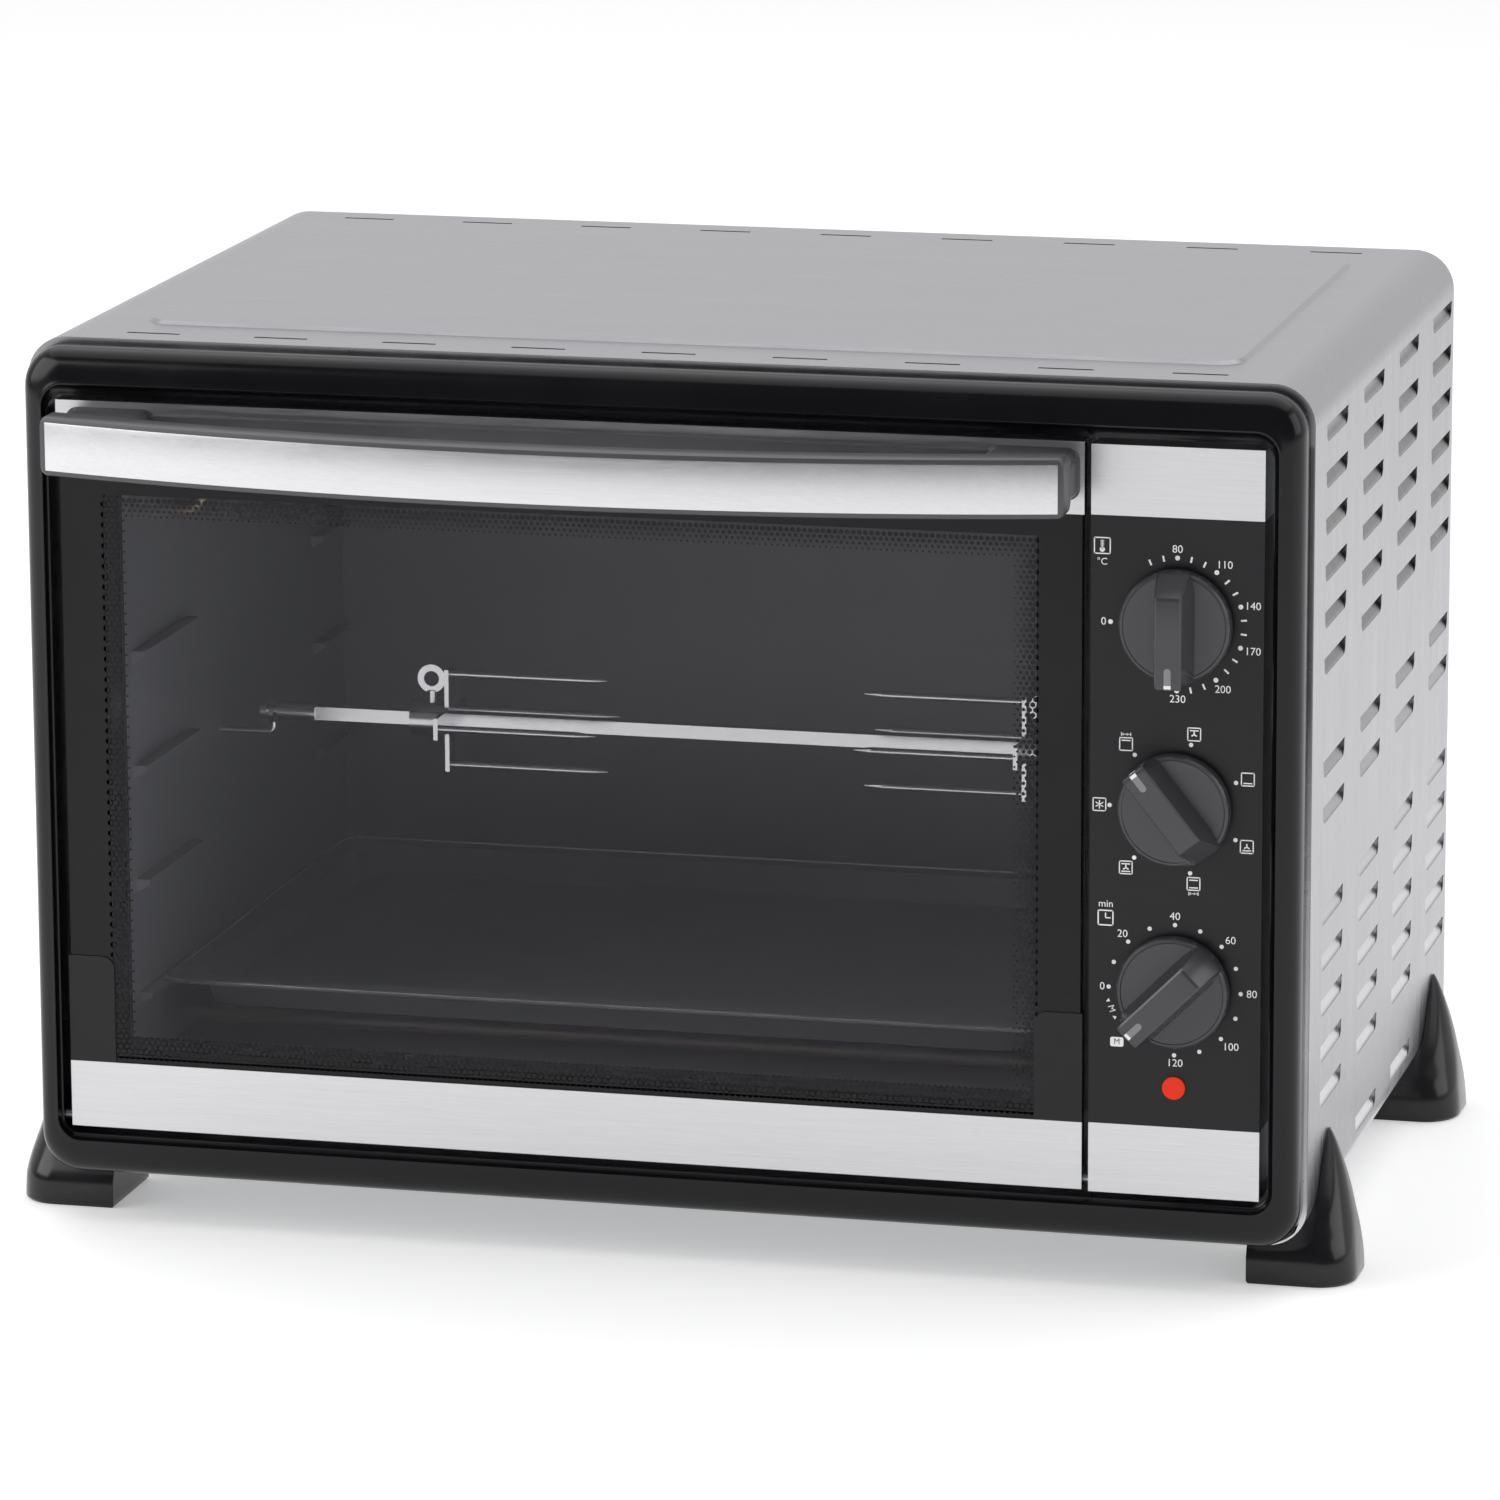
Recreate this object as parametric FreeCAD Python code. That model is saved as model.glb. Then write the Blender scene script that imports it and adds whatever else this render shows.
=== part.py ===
import FreeCAD, Part
import math
import os

# Countertop rotisserie oven, millimetres. +X right, +Y towards the back, +Z up. The origin is
# on the surface that the feet stand on, under the middle of the whole object.

# Casing, a brushed steel wrap
casing_width = 568.8
casing_depth = 358.0
casing_height = 375.2
casing_radius = 18.0
casing_sheet = 0.8
casing_lip = 8.0
casing_hem = 3.5
ground_clearance = 20.0

# Front frame, a black moulding round the door and the control panel
frame_step = 1.9
frame_top_step = 2.4
frame_depth = 19.0
frame_radius = 17.0
frame_lift = 2.0
frame_wall = 2.5
ridge_side = 9.5
ridge_top = 14.5
ridge_bottom = 15.4
mouth_left = 11.0
mouth_right = 13.0
mouth_top = 20.8
mouth_bottom = 18.3
mouth_radius = 7.0

# Door
door_setback = 5.0
door_depth = 22.0
door_side_gap = 4.0
door_bottom_gap = 3.4
door_top_gap = 2.1
door_panel_gap = 2.9
door_skin = 1.0
door_window_border = 20.5
door_window_low = 36.0
door_window_high = 42.0
trim_top_height = 31.3
trim_bottom_height = 29.7
trim_sheet = 0.8
glass_thickness = 4.0
glass_side_play = 1.0
glass_under_trim = 12.0
hinge_pin_cover = 3.0
hinge_pin_lift = 1.8
hinge_pin_radius = 2.0
hinge_boss_length = 8.0
corner_plate_width = 21.0
corner_plate_height = 48.0

# Handle
handle_height = 25.8
handle_end_reach = 34.0
handle_bow = 28.0
handle_thickness = 14.0
handle_base_thickness = 3.0
handle_base_lower = 3.8
handle_end_width = 41.0
handle_end_lower = 1.6
handle_left_inset = 4.5
handle_right_inset = 1.8
handle_below_edge = 1.3
handle_corner_radius = 3.0
handle_root_radius = 6.5
handle_strip_border = 2.4
handle_strip_sheet = 0.8
handle_strip_proud = 0.2
handle_screw_radius = 2.2

# Control panel
panel_width = 74.4
panel_side_gap = 3.7
panel_top_trim_height = 30.3
panel_bottom_trim_height = 30.6
panel_wall = 1.5
panel_edge_gap = 2.8
knob_radius = 24.3
knob_skirt = 6.0
knob_height = 20.0
knob_gap = 1.0
knob_bar_width = 11.0
knob_pitch = 79.5
knob_top_drop = 76.0
shaft_radius = 3.0
shaft_in_knob = 14.0
shaft_clearance = 0.05
lamp_radius = 4.9
lamp_below_knob = 43.0

# Cavity
cavity_left_gap = 38.4
cavity_right_gap = 113.4
cavity_rear_gap = 22.5
cavity_floor_height = 44.0
cavity_top_gap = 49.2
cavity_sheet = 0.8
plate_sheet = 1.0
door_to_plate = 1.5
rail_pitch = 51.6
rail_count = 4
rail_first = 33.5
rail_reach = 6.0
rail_thickness = 6.0
rail_length = 78.0
rail_setback = 8.0
rail_fan_gap = 4.0
tray_rear_gap = 12.5
tray_well = 14.0
tray_sheet = 1.0
tray_rim = 12.0
tray_side_play = 3.0
tray_setback = 27.5

# Heating elements
element_radius = 3.25
element_hole_play = 0.3
upper_element_drop = 14.0
upper_element_step = 28.0
element_bend = 12.0
lower_element_lift = 9.0
element_front_gap = 70.0
element_rear_gap = 90.0
insulator_radius = 7.0
insulator_length = 12.0

# Rotisserie
spit_back = 132.0
spit_lift = 136.5
spit_side = 6.0
spit_end_gap = 32.0
spit_sleeve_radius = 4.2
spit_groove_radius = 2.4
hook_wire_radius = 1.4
hook_drop = 10.0
hook_play = 0.5
fork_reach = 21.0
fork_tine_radius = 1.6
fork_tine_length = 75.0
fork_hub_radius = 8.0
fork_hub_length = 18.0
fork_left_in = 60.0
fork_right_in = 24.0
thumb_screw_radius = 2.5
thumb_head_radius = 6.5
socket_radius = 9.0
socket_length = 16.0
socket_hole_play = 1.2
motor_width = 52.0
motor_depth = 34.0

# Convection fan
fan_bridge_reach = 45.0
fan_motor_gap = 1.0
fan_setback_share = 0.18
fan_lift = 150.0
fan_radius = 44.0
fan_width = 12.0
fan_cover_radius = 56.0
fan_cover_depth = 20.0
fan_motor_radius = 30.0
fan_motor_length = 45.0

# Feet
foot_front = 7.0
foot_length = 50.0
foot_rear_gap = 26.0
foot_inner = 36.5
foot_flare = 18.0
foot_horn_height = 40.5
foot_horn_back = 39.5
foot_play = 0.3

# Louvres in the sides and vents in the top and back
louvre_length = 52.0
louvre_height = 8.0
louvre_end_gap = 6.0
louvre_start = 27.0
louvre_row_pitch = 20.2
louvre_groups = ((5, 26.0, 6), (5, 172.0, 2), (5, 237.0, 5), (1, 353.0, 1))
louvre_columns = 4
louvre_lean = 4.0
louvre_corner = 4.5
louvre_slit = 1.2
louvre_wall = 0.6
emboss_height = 1.5
emboss_margin = 38.0
top_vent_length = 24.0
top_vent_width = 2.4
top_vent_pitch = 58.0
top_vent_count = 9

# Rear
gland_reach = 12.0
gland_radius = 7.0
rear_recess = 5.0
screw_radius = 3.5
screw_head = 1.6

# Places that follow from the sizes above
handle_reach = handle_end_reach + handle_bow + handle_strip_proud
overall_depth = handle_reach + frame_depth - door_setback + casing_depth + gland_reach
front_y = -overall_depth / 2 + handle_reach + frame_depth - door_setback
rear_y = front_y + casing_depth
casing_top = ground_clearance + casing_height
half_casing = casing_width / 2
frame_width = casing_width - 2 * frame_step
frame_height = casing_height - frame_lift - frame_top_step
foot_spacing = casing_depth - foot_front - foot_length - foot_rear_gap
louvre_pitch = (casing_depth - louvre_start - louvre_length - louvre_end_gap) / (
    louvre_columns - 1)
frame_bottom = ground_clearance + frame_lift
frame_top = frame_bottom + frame_height
face_y = front_y - frame_depth + door_setback
mouth_x0 = -frame_width / 2 + mouth_left
mouth_x1 = frame_width / 2 - mouth_right
mouth_z0 = frame_bottom + mouth_bottom
mouth_z1 = frame_top - mouth_top
panel_x1 = mouth_x1 - panel_side_gap
panel_x0 = panel_x1 - panel_width
door_x0 = mouth_x0 + door_side_gap
door_x1 = panel_x0 - door_panel_gap
door_z0 = mouth_z0 + door_bottom_gap
door_z1 = mouth_z1 - door_top_gap
door_back_y = face_y + door_depth
plate_y = door_back_y + door_to_plate
hinge_y = face_y + hinge_pin_radius + hinge_pin_cover
hinge_z = door_z0 + hinge_pin_radius + hinge_pin_lift
cavity_x0 = -half_casing + cavity_left_gap
cavity_x1 = half_casing - cavity_right_gap
cavity_z0 = ground_clearance + cavity_floor_height
cavity_z1 = casing_top - cavity_top_gap
cavity_y0 = plate_y + plate_sheet
cavity_y1 = rear_y - cavity_rear_gap
element_rows = (cavity_y0 + element_front_gap, cavity_y1 - element_rear_gap)
panel_z0 = mouth_z0 + panel_edge_gap
panel_z1 = mouth_z1 - panel_edge_gap
panel_mid = (panel_x0 + panel_x1) / 2
knob_x = panel_mid
knob_z = [panel_z1 - knob_top_drop - step * knob_pitch for step in range(3)]
lamp_z = knob_z[2] - lamp_below_knob
spit_y = cavity_y0 + spit_back
spit_z = cavity_z0 + spit_lift
fan_front_limit = spit_y + motor_width / 2 + fan_bridge_reach + fan_motor_gap
fan_rear_limit = cavity_y1 - fan_cover_radius - rail_fan_gap
fan_y = fan_front_limit + fan_setback_share * (fan_rear_limit - fan_front_limit)
fan_z = cavity_z0 + fan_lift


def vec(x, y, z):
    return FreeCAD.Vector(x, y, z)


def box(x0, x1, y0, y1, z0, z1):
    return Part.makeBox(x1 - x0, y1 - y0, z1 - z0, vec(x0, y0, z0))


def rod_x(radius, x0, x1, y, z):
    return Part.makeCylinder(radius, x1 - x0, vec(x0, y, z), vec(1, 0, 0))


def rod_y(radius, x, y0, y1, z):
    return Part.makeCylinder(radius, y1 - y0, vec(x, y0, z), vec(0, 1, 0))


def rod_z(radius, x, y, z0, z1):
    return Part.makeCylinder(radius, z1 - z0, vec(x, y, z0), vec(0, 0, 1))


def mirrored(shape):
    return shape.mirror(vec(0, 0, 0), vec(1, 0, 0))


def fused(shapes):
    return shapes[0].multiFuse(shapes[1:]).removeSplitter()


def rounded_wire(u0, u1, v0, v1, radius, place):
    """A rounded rectangle, with place(u, v) giving its points in space."""
    k = radius * (1 - math.sqrt(0.5))
    corners = (
        ((u1 - radius, v0), (u1 - k, v0 + k), (u1, v0 + radius)),
        ((u1, v1 - radius), (u1 - k, v1 - k), (u1 - radius, v1)),
        ((u0 + radius, v1), (u0 + k, v1 - k), (u0, v1 - radius)),
        ((u0, v0 + radius), (u0 + k, v0 + k), (u0 + radius, v0)),
    )
    edges = []
    for index, corner in enumerate(corners):
        previous = corners[index - 1][2]
        edges.append(Part.makeLine(place(*previous), place(*corner[0])))
        edges.append(Part.Arc(*[place(*point) for point in corner]).toShape())
    return Part.Wire(edges)


def upright(y):
    return lambda u, v: vec(u, y, v)


def level(z):
    return lambda u, v: vec(u, v, z)


def slab_y(x0, x1, z0, z1, radius, y0, y1):
    """A rounded rectangle in the XZ plane, as thick as y0 to y1."""
    face = Part.Face(rounded_wire(x0, x1, z0, z1, radius, upright(y0)))
    return face.extrude(vec(0, y1 - y0, 0))


def prism(points, direction):
    return Part.Face(Part.makePolygon(points + points[:1])).extrude(direction)


def tube(points, radius, bend):
    """A round bar along straight runs joined by arcs of one bend radius."""
    edges = []
    start = points[0]
    for index in range(1, len(points) - 1):
        corner = points[index]
        into = (corner - points[index - 1]).normalize()
        out = (points[index + 1] - corner).normalize()
        half_turn = into.getAngle(out) / 2
        reach = bend * math.tan(half_turn)
        first = corner - into * reach
        last = corner + out * reach
        to_centre = (out - into).normalize()
        centre = corner + to_centre * (bend / math.cos(half_turn))
        middle = centre - to_centre * bend
        edges.append(Part.makeLine(start, first))
        edges.append(Part.Arc(first, middle, last).toShape())
        start = last
    edges.append(Part.makeLine(start, points[-1]))
    path = Part.Wire(edges)
    section = Part.Wire([Part.makeCircle(radius, points[0], points[1] - points[0])])
    return path.makePipeShell([section], True, False)


def louvre_rows():
    """The height of each louvre's middle and whether it spans every column."""
    rows = []
    for columns, below_top, count in louvre_groups:
        for row in range(count):
            height = casing_top - below_top - row * louvre_row_pitch
            rows.append((height, columns > 1))
    return rows


def louvre_outline(inset, top, x):
    """Half a louvre's edge in the side's plane: straight on top, rounded at the bottom."""
    y0 = inset
    y1 = louvre_length - inset
    z0 = -louvre_height / 2 + inset
    z1 = top
    r = louvre_corner - inset
    k = r * (1 - math.sqrt(0.5))
    lines = [
        Part.makeLine(vec(x, y1, z1), vec(x, y0, z1)),
        Part.makeLine(vec(x, y0, z1), vec(x, y0, z0 + r)),
        Part.Arc(vec(x, y0, z0 + r), vec(x, y0 + k, z0 + k), vec(x, y0 + r, z0)).toShape(),
        Part.makeLine(vec(x, y0 + r, z0), vec(x, y1 - r, z0)),
        Part.Arc(vec(x, y1 - r, z0), vec(x, y1 - k, z0 + k), vec(x, y1, z0 + r)).toShape(),
        Part.makeLine(vec(x, y1, z0 + r), vec(x, y1, z1)),
    ]
    return Part.Face(Part.Wire(lines))


def louvre_pocket():
    """One pressed-in pocket, open along its top edge, with its mouth in the plane X = 0."""
    depth = louvre_lean
    sheet = casing_sheet
    half = louvre_height / 2
    block = louvre_outline(0, half - louvre_slit, -depth - sheet).extrude(
        vec(depth + sheet, 0, 0))
    wedge = prism([vec(0, 0, -half), vec(0, 0, half), vec(-depth - sheet, 0, half),
                   vec(-depth - sheet, 0, half - sheet), vec(-sheet, 0, -half)],
                  vec(0, louvre_length, 0))
    hollow = louvre_outline(louvre_wall, half, -depth).extrude(vec(depth + 1, 0, 0))
    inner = prism([vec(1, 0, -half + louvre_wall), vec(1, 0, half), vec(-depth, 0, half),
                   vec(-0.2, 0, -half + louvre_wall)], vec(0, louvre_length, 0))
    return block.common(wedge).cut(hollow.common(inner))


def louvre_slots_and_tabs():
    slots = []
    tabs = []
    slot = louvre_outline(0, louvre_height / 2, -casing_sheet - 1).extrude(
        vec(casing_sheet + 2, 0, 0))
    pocket = louvre_pocket()
    for height, every_column in louvre_rows():
        for column in range(louvre_columns):
            if not every_column and column in (0, louvre_columns - 1):
                continue
            place = vec(half_casing, front_y + louvre_start + column * louvre_pitch, height)
            slots.append(slot.translated(place))
            tabs.append(pocket.translated(place))
    return slots, tabs


def outer_casing():
    """The wrap of one steel sheet: both sides, the top and a lip under each side."""
    outer = slab_y(-half_casing, half_casing, ground_clearance, casing_top, casing_radius,
                   front_y, rear_y)
    sheet = casing_sheet
    inner = slab_y(-half_casing + sheet, half_casing - sheet, ground_clearance + sheet,
                   casing_top - sheet, casing_radius - sheet, front_y - 1, rear_y + 1)
    lip = half_casing - casing_radius - casing_lip
    under = box(-lip, lip, front_y - 1, rear_y + 1, ground_clearance - 1,
                ground_clearance + sheet + 1)
    hem_inner = slab_y(-half_casing + casing_hem, half_casing - casing_hem, ground_clearance - 1,
                       casing_top - casing_hem, casing_radius - casing_hem, front_y - 1,
                       front_y + sheet + 1)
    hem = slab_y(-half_casing, half_casing, ground_clearance, casing_top, casing_radius,
                 front_y, front_y + sheet).cut(hem_inner)
    shell = outer.cut(inner).fuse(hem).cut(under)
    x1 = half_casing - emboss_margin
    y0 = front_y + emboss_margin
    y1 = rear_y - emboss_margin
    rise = emboss_height

    def plateau(inset, z0, z1):
        low = rounded_wire(-x1 + inset, x1 - inset, y0 + inset, y1 - inset, 14.0, level(z0))
        slope = inset + 2 * rise
        high = rounded_wire(-x1 + slope, x1 - slope, y0 + slope, y1 - slope, 12.0, level(z1))
        return Part.makeLoft([low, high], True, True)

    raised = plateau(0, casing_top - sheet, casing_top + rise)
    hollow = plateau(sheet, casing_top - sheet, casing_top + rise - sheet)
    opening = plateau(sheet, casing_top - sheet - 0.001, casing_top + rise - sheet)
    shell = shell.cut(opening).fuse(raised.cut(hollow)).removeSplitter()
    slots, tabs = louvre_slots_and_tabs()
    cutters = slots + [mirrored(slot) for slot in slots]
    for index in range(top_vent_count):
        x = (index - (top_vent_count - 1) / 2) * top_vent_pitch
        for y in (front_y + 16.0, rear_y - 16.0):
            half = top_vent_length / 2
            cutters.append(box(x - half, x + half, y - top_vent_width / 2,
                               y + top_vent_width / 2, casing_top - 2, casing_top + 2))
    shell = shell.cut(Part.makeCompound(cutters))
    return fused([shell] + tabs + [mirrored(tab) for tab in tabs])


def base_pan():
    """The floor sheet, resting on the casing's two lips, with vents under the cavity."""
    edge = half_casing - casing_radius
    z0 = ground_clearance + casing_sheet
    pan = box(-edge, edge, front_y + 1, rear_y - rear_recess, z0, z0 + plate_sheet)
    vents = []
    for row in range(3):
        for column in range(7):
            x = -210.0 + column * 60.0
            y = front_y + casing_depth * (0.32 + 0.18 * row)
            vents.append(box(x - 18, x + 18, y - 2, y + 2, z0 - 1, z0 + plate_sheet + 1))
    return pan.cut(Part.makeCompound(vents))


def rear_panel():
    sheet = casing_sheet
    play = 0.3
    y0 = rear_y - rear_recess
    z0 = ground_clearance + sheet + play
    panel = slab_y(-half_casing + sheet + play, half_casing - sheet - play, z0,
                   casing_top - sheet - play, casing_radius - sheet - play, y0, y0 + plate_sheet)
    holes = []
    for row in range(5):
        for column in range(6):
            x = -150.0 + column * 60.0
            z = casing_top - 60.0 - row * 18.0
            holes.append(box(x - 20, x + 20, y0 - 1, y0 + 3, z - 2.5, z + 2.5))
    holes.append(rod_y(gland_radius - 2.0, gland_x(), y0 - 1, y0 + 3, gland_z()))
    return panel.cut(Part.makeCompound(holes))


def gland_x():
    return half_casing - 60.0


def gland_z():
    return ground_clearance + 50.0


def cord_gland():
    """The bushing through the rear panel that the mains lead would leave by."""
    y0 = rear_y - rear_recess
    bush = rod_y(gland_radius - 2.0, gland_x(), y0 - 4, y0 + plate_sheet, gland_z())
    flange = rod_y(gland_radius, gland_x(), y0 + plate_sheet, y0 + plate_sheet + 3, gland_z())
    inside = rod_y(gland_radius, gland_x(), y0 - 6, y0, gland_z())
    length = rear_y + gland_reach - y0
    nose = Part.makeCone(gland_radius - 1.0, gland_radius - 2.5, length - plate_sheet,
                         vec(gland_x(), y0 + plate_sheet, gland_z()), vec(0, 1, 0))
    bore = rod_y(3.4, gland_x(), y0 - 7, rear_y + gland_reach + 1, gland_z())
    return fused([bush, flange, inside, nose]).cut(bore)


def front_frame():
    """The black moulded surround: a crowned ring with a hollow back."""
    half = frame_width / 2
    front = front_y - frame_depth
    stages = (
        (front_y, 0.0, 0.0, 0.0),
        (front + 11.0, 0.0, 0.0, 0.0),
        (front + 4.5, 0.22, 0.22, 0.22),
        (front + 1.2, 0.55, 0.55, 0.55),
        (front, 1.0, 1.0, 1.0),
    )
    wires = []
    for y, side, top, bottom in stages:
        wires.append(rounded_wire(-half + side * ridge_side, half - side * ridge_side,
                                  frame_bottom + bottom * ridge_bottom,
                                  frame_top - top * ridge_top, frame_radius - side * 5,
                                  upright(y)))
    crown = Part.makeLoft(wires, True, True)
    mouth = slab_y(mouth_x0, mouth_x1, mouth_z0, mouth_z1, mouth_radius, front - 1, front_y + 1)
    wide = rounded_wire(-half + ridge_side + 0.4, half - ridge_side - 0.4,
                        frame_bottom + ridge_bottom + 0.8, frame_top - ridge_top - 1.5,
                        mouth_radius + 2, upright(front - 0.01))
    narrow = rounded_wire(mouth_x0, mouth_x1, mouth_z0, mouth_z1, mouth_radius,
                          upright(front + door_setback))
    chamfer = Part.makeLoft([wide, narrow], True, True)
    wall = frame_wall
    pocket = slab_y(-half + wall, half - wall, frame_bottom + wall, frame_top - wall,
                    frame_radius - wall, front_y - 13.0, front_y + 1)
    keep = slab_y(mouth_x0 - wall, mouth_x1 + wall, mouth_z0 - wall, mouth_z1 + wall,
                  mouth_radius + wall, front_y - 14.0, front_y + 2)
    back = slab_y(mouth_x0 - wall, mouth_x1 + wall, mouth_z0 - wall, mouth_z1 + wall,
                  mouth_radius + wall, front_y, plate_y)
    tunnel = slab_y(mouth_x0, mouth_x1, mouth_z0, mouth_z1, mouth_radius, front_y - 2,
                    plate_y + 1)
    ring = crown.cut(mouth).cut(chamfer).cut(pocket.cut(keep))
    ring = ring.fuse(back.cut(tunnel)).removeSplitter()
    return ring.cut(rod_x(hinge_pin_radius, mouth_x0 - 2 * wall, mouth_x0 + 1, hinge_y, hinge_z))


def front_plate():
    """The steel plate behind the door that joins the cavity to the casing."""
    play = 0.3
    edge = half_casing - casing_sheet - play
    plate = slab_y(-edge, edge, ground_clearance + casing_sheet + plate_sheet + play,
                   casing_top - casing_sheet - play, casing_radius - casing_sheet - play,
                   plate_y, plate_y + plate_sheet)
    mouth = box(cavity_x0, cavity_x1, plate_y - 1, plate_y + 2, cavity_z0, cavity_z1)
    holes = [rod_y(5.0, knob_x, plate_y - 1, plate_y + 2, z) for z in knob_z]
    holes.append(rod_y(lamp_radius + 1.0, knob_x, plate_y - 1, plate_y + 2, lamp_z))
    return plate.cut(Part.makeCompound([mouth] + holes))


def rail_levels():
    return [cavity_z0 + rail_first + step * rail_pitch for step in range(rail_count)]


def rail_spans():
    front = cavity_y0 + rail_setback
    rear = fan_y + fan_cover_radius + rail_fan_gap
    return ((front, front + rail_length), (rear, cavity_y1 - rail_setback))


def rails(wall_x, inwards):
    """Pressed ribs, in a front and a rear set, with their flat side up."""
    ribs = []
    reach = wall_x + inwards * rail_reach
    for top in rail_levels():
        for y0, y1 in rail_spans():
            section = [
                vec(wall_x, y0, top),
                vec(reach, y0, top),
                vec(reach, y0, top - rail_thickness / 3),
                vec(wall_x, y0, top - rail_thickness),
            ]
            ribs.append(prism(section, vec(0, y1 - y0, 0)))
    return ribs


def element_ends():
    """Where each heating element crosses the side walls: name, depth, left and right heights."""
    upper = cavity_z1 - upper_element_drop
    lower = cavity_z0 + lower_element_lift
    ends = []
    for place, y in zip(("front", "rear"), element_rows):
        ends.append(("upper_heating_element_" + place, y, upper - upper_element_step, upper))
        ends.append(("lower_heating_element_" + place, y, lower, lower))
    return ends


def element_holes(x0, x1, side):
    radius = element_radius + element_hole_play
    return [rod_x(radius, x0, x1, end[1], end[2 + side]) for end in element_ends()]


def cavity_side(left):
    x0 = cavity_x0 - cavity_sheet if left else cavity_x1
    x1 = cavity_x0 if left else cavity_x1 + cavity_sheet
    wall = box(x0, x1, cavity_y0, cavity_y1, cavity_z0 - cavity_sheet, cavity_z1 + cavity_sheet)
    ribs = rails(cavity_x0, 1) if left else rails(cavity_x1, -1)
    wall = fused([wall] + ribs)
    holes = element_holes(x0 - 1, x1 + 1, 0 if left else 1)
    if left:
        holes.append(rod_x(hook_wire_radius + 0.2, x0 - 1, x1 + 1, spit_y, spit_z - hook_drop))
    else:
        holes.append(rod_x(socket_radius + socket_hole_play, x0 - 1, x1 + 1, spit_y, spit_z))
        holes.append(rod_x(8.0, x0 - 1, x1 + 1, fan_y, fan_z))
    return wall.cut(Part.makeCompound(holes))


def cavity_sheet_level(z0):
    return box(cavity_x0, cavity_x1, cavity_y0, cavity_y1, z0, z0 + cavity_sheet)


def cavity_back():
    edge = cavity_sheet
    return box(cavity_x0 - edge, cavity_x1 + edge, cavity_y1, cavity_y1 + cavity_sheet,
               cavity_z0 - edge, cavity_z1 + edge)


def drip_tray():
    """The shallow tray whose rim stands on the lowest rails."""
    top = rail_levels()[0] + tray_sheet
    x0 = cavity_x0 + tray_side_play
    x1 = cavity_x1 - tray_side_play
    y0 = cavity_y0 + tray_setback
    y1 = cavity_y1 - tray_rear_gap
    corner = 16.0

    def well(inset, z0, z1):
        low = rounded_wire(x0 + inset + 4, x1 - inset - 4, y0 + inset + 4, y1 - inset - 4,
                           corner, level(z0))
        high = rounded_wire(x0 + inset, x1 - inset, y0 + inset, y1 - inset, corner, level(z1))
        return Part.makeLoft([low, high], True, True)

    rim = Part.Face(rounded_wire(x0, x1, y0, y1, corner, level(top - tray_sheet)))
    rim = rim.extrude(vec(0, 0, tray_sheet))
    body = rim.fuse(well(tray_rim, top - tray_well, top))
    return body.cut(well(tray_rim + tray_sheet, top - tray_well + tray_sheet, top + 0.01))


def heating_element(y, left_z, right_z):
    x0 = cavity_x0 - 8.0
    x1 = cavity_x1 + 14.0
    if abs(left_z - right_z) < 0.01:
        return rod_x(element_radius, x0, x1, y, left_z)
    turn_x = cavity_x0 + element_bend + 3.0
    points = [vec(x1, y, right_z), vec(turn_x, y, right_z), vec(turn_x, y, left_z),
              vec(x0, y, left_z)]
    return tube(points, element_radius, element_bend)


def element_insulators():
    """A ceramic bush outside the cavity wall at each end of each element."""
    bushes = []
    for name, y, left_z, right_z in element_ends():
        left = cavity_x0 - cavity_sheet
        right = cavity_x1 + cavity_sheet
        for z, x0 in ((left_z, left - insulator_length), (right_z, right)):
            bush = rod_x(insulator_radius, x0, x0 + insulator_length, y, z)
            bore = rod_x(element_radius, x0 - 1, x0 + insulator_length + 1, y, z)
            bushes.append(bush.cut(bore))
    return Part.makeCompound(bushes)


def spit_x0():
    return cavity_x0 + spit_end_gap


def socket_x0():
    return cavity_x1 - socket_length + 6.0


def spit_rod():
    half = spit_side / 2
    x0 = spit_x0()
    x1 = socket_x0() + 9.0
    bar = box(x0, x1, spit_y - half, spit_y + half, spit_z - half, spit_z + half)
    sleeve = rod_x(spit_sleeve_radius, x0 - 4, x0 + 14, spit_y, spit_z)
    neck = rod_x(spit_groove_radius, x0 - 9, x0 - 4, spit_y, spit_z)
    cap = rod_x(spit_sleeve_radius, x0 - 12, x0 - 9, spit_y, spit_z)
    return fused([bar, sleeve, neck, cap])


def hook_x():
    return spit_x0() - 6.5


def spit_support_hook():
    """A bent wire out of the left wall whose open loop carries the neck of the spit."""
    ring = spit_groove_radius + hook_play + hook_wire_radius
    x = hook_x()
    z = spit_z - hook_drop
    start = vec(cavity_x0 - 8.0, spit_y, z)
    stem = tube([start, vec(x, spit_y, z), vec(x, spit_y, spit_z - ring + 0.6)],
                hook_wire_radius, 2.5)
    wire = hook_wire_radius
    loop = rod_x(ring + wire, x - wire, x + wire, spit_y, spit_z)
    loop = loop.cut(rod_x(ring - wire, x - 5, x + 5, spit_y, spit_z))
    above = box(x - 5, x + 5, spit_y - 20, spit_y + 20, spit_z, spit_z + 20)
    return fused([stem, loop.cut(above)])


def fork_x(left):
    return spit_x0() + fork_left_in if left else cavity_x1 - fork_right_in - fork_hub_length


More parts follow.
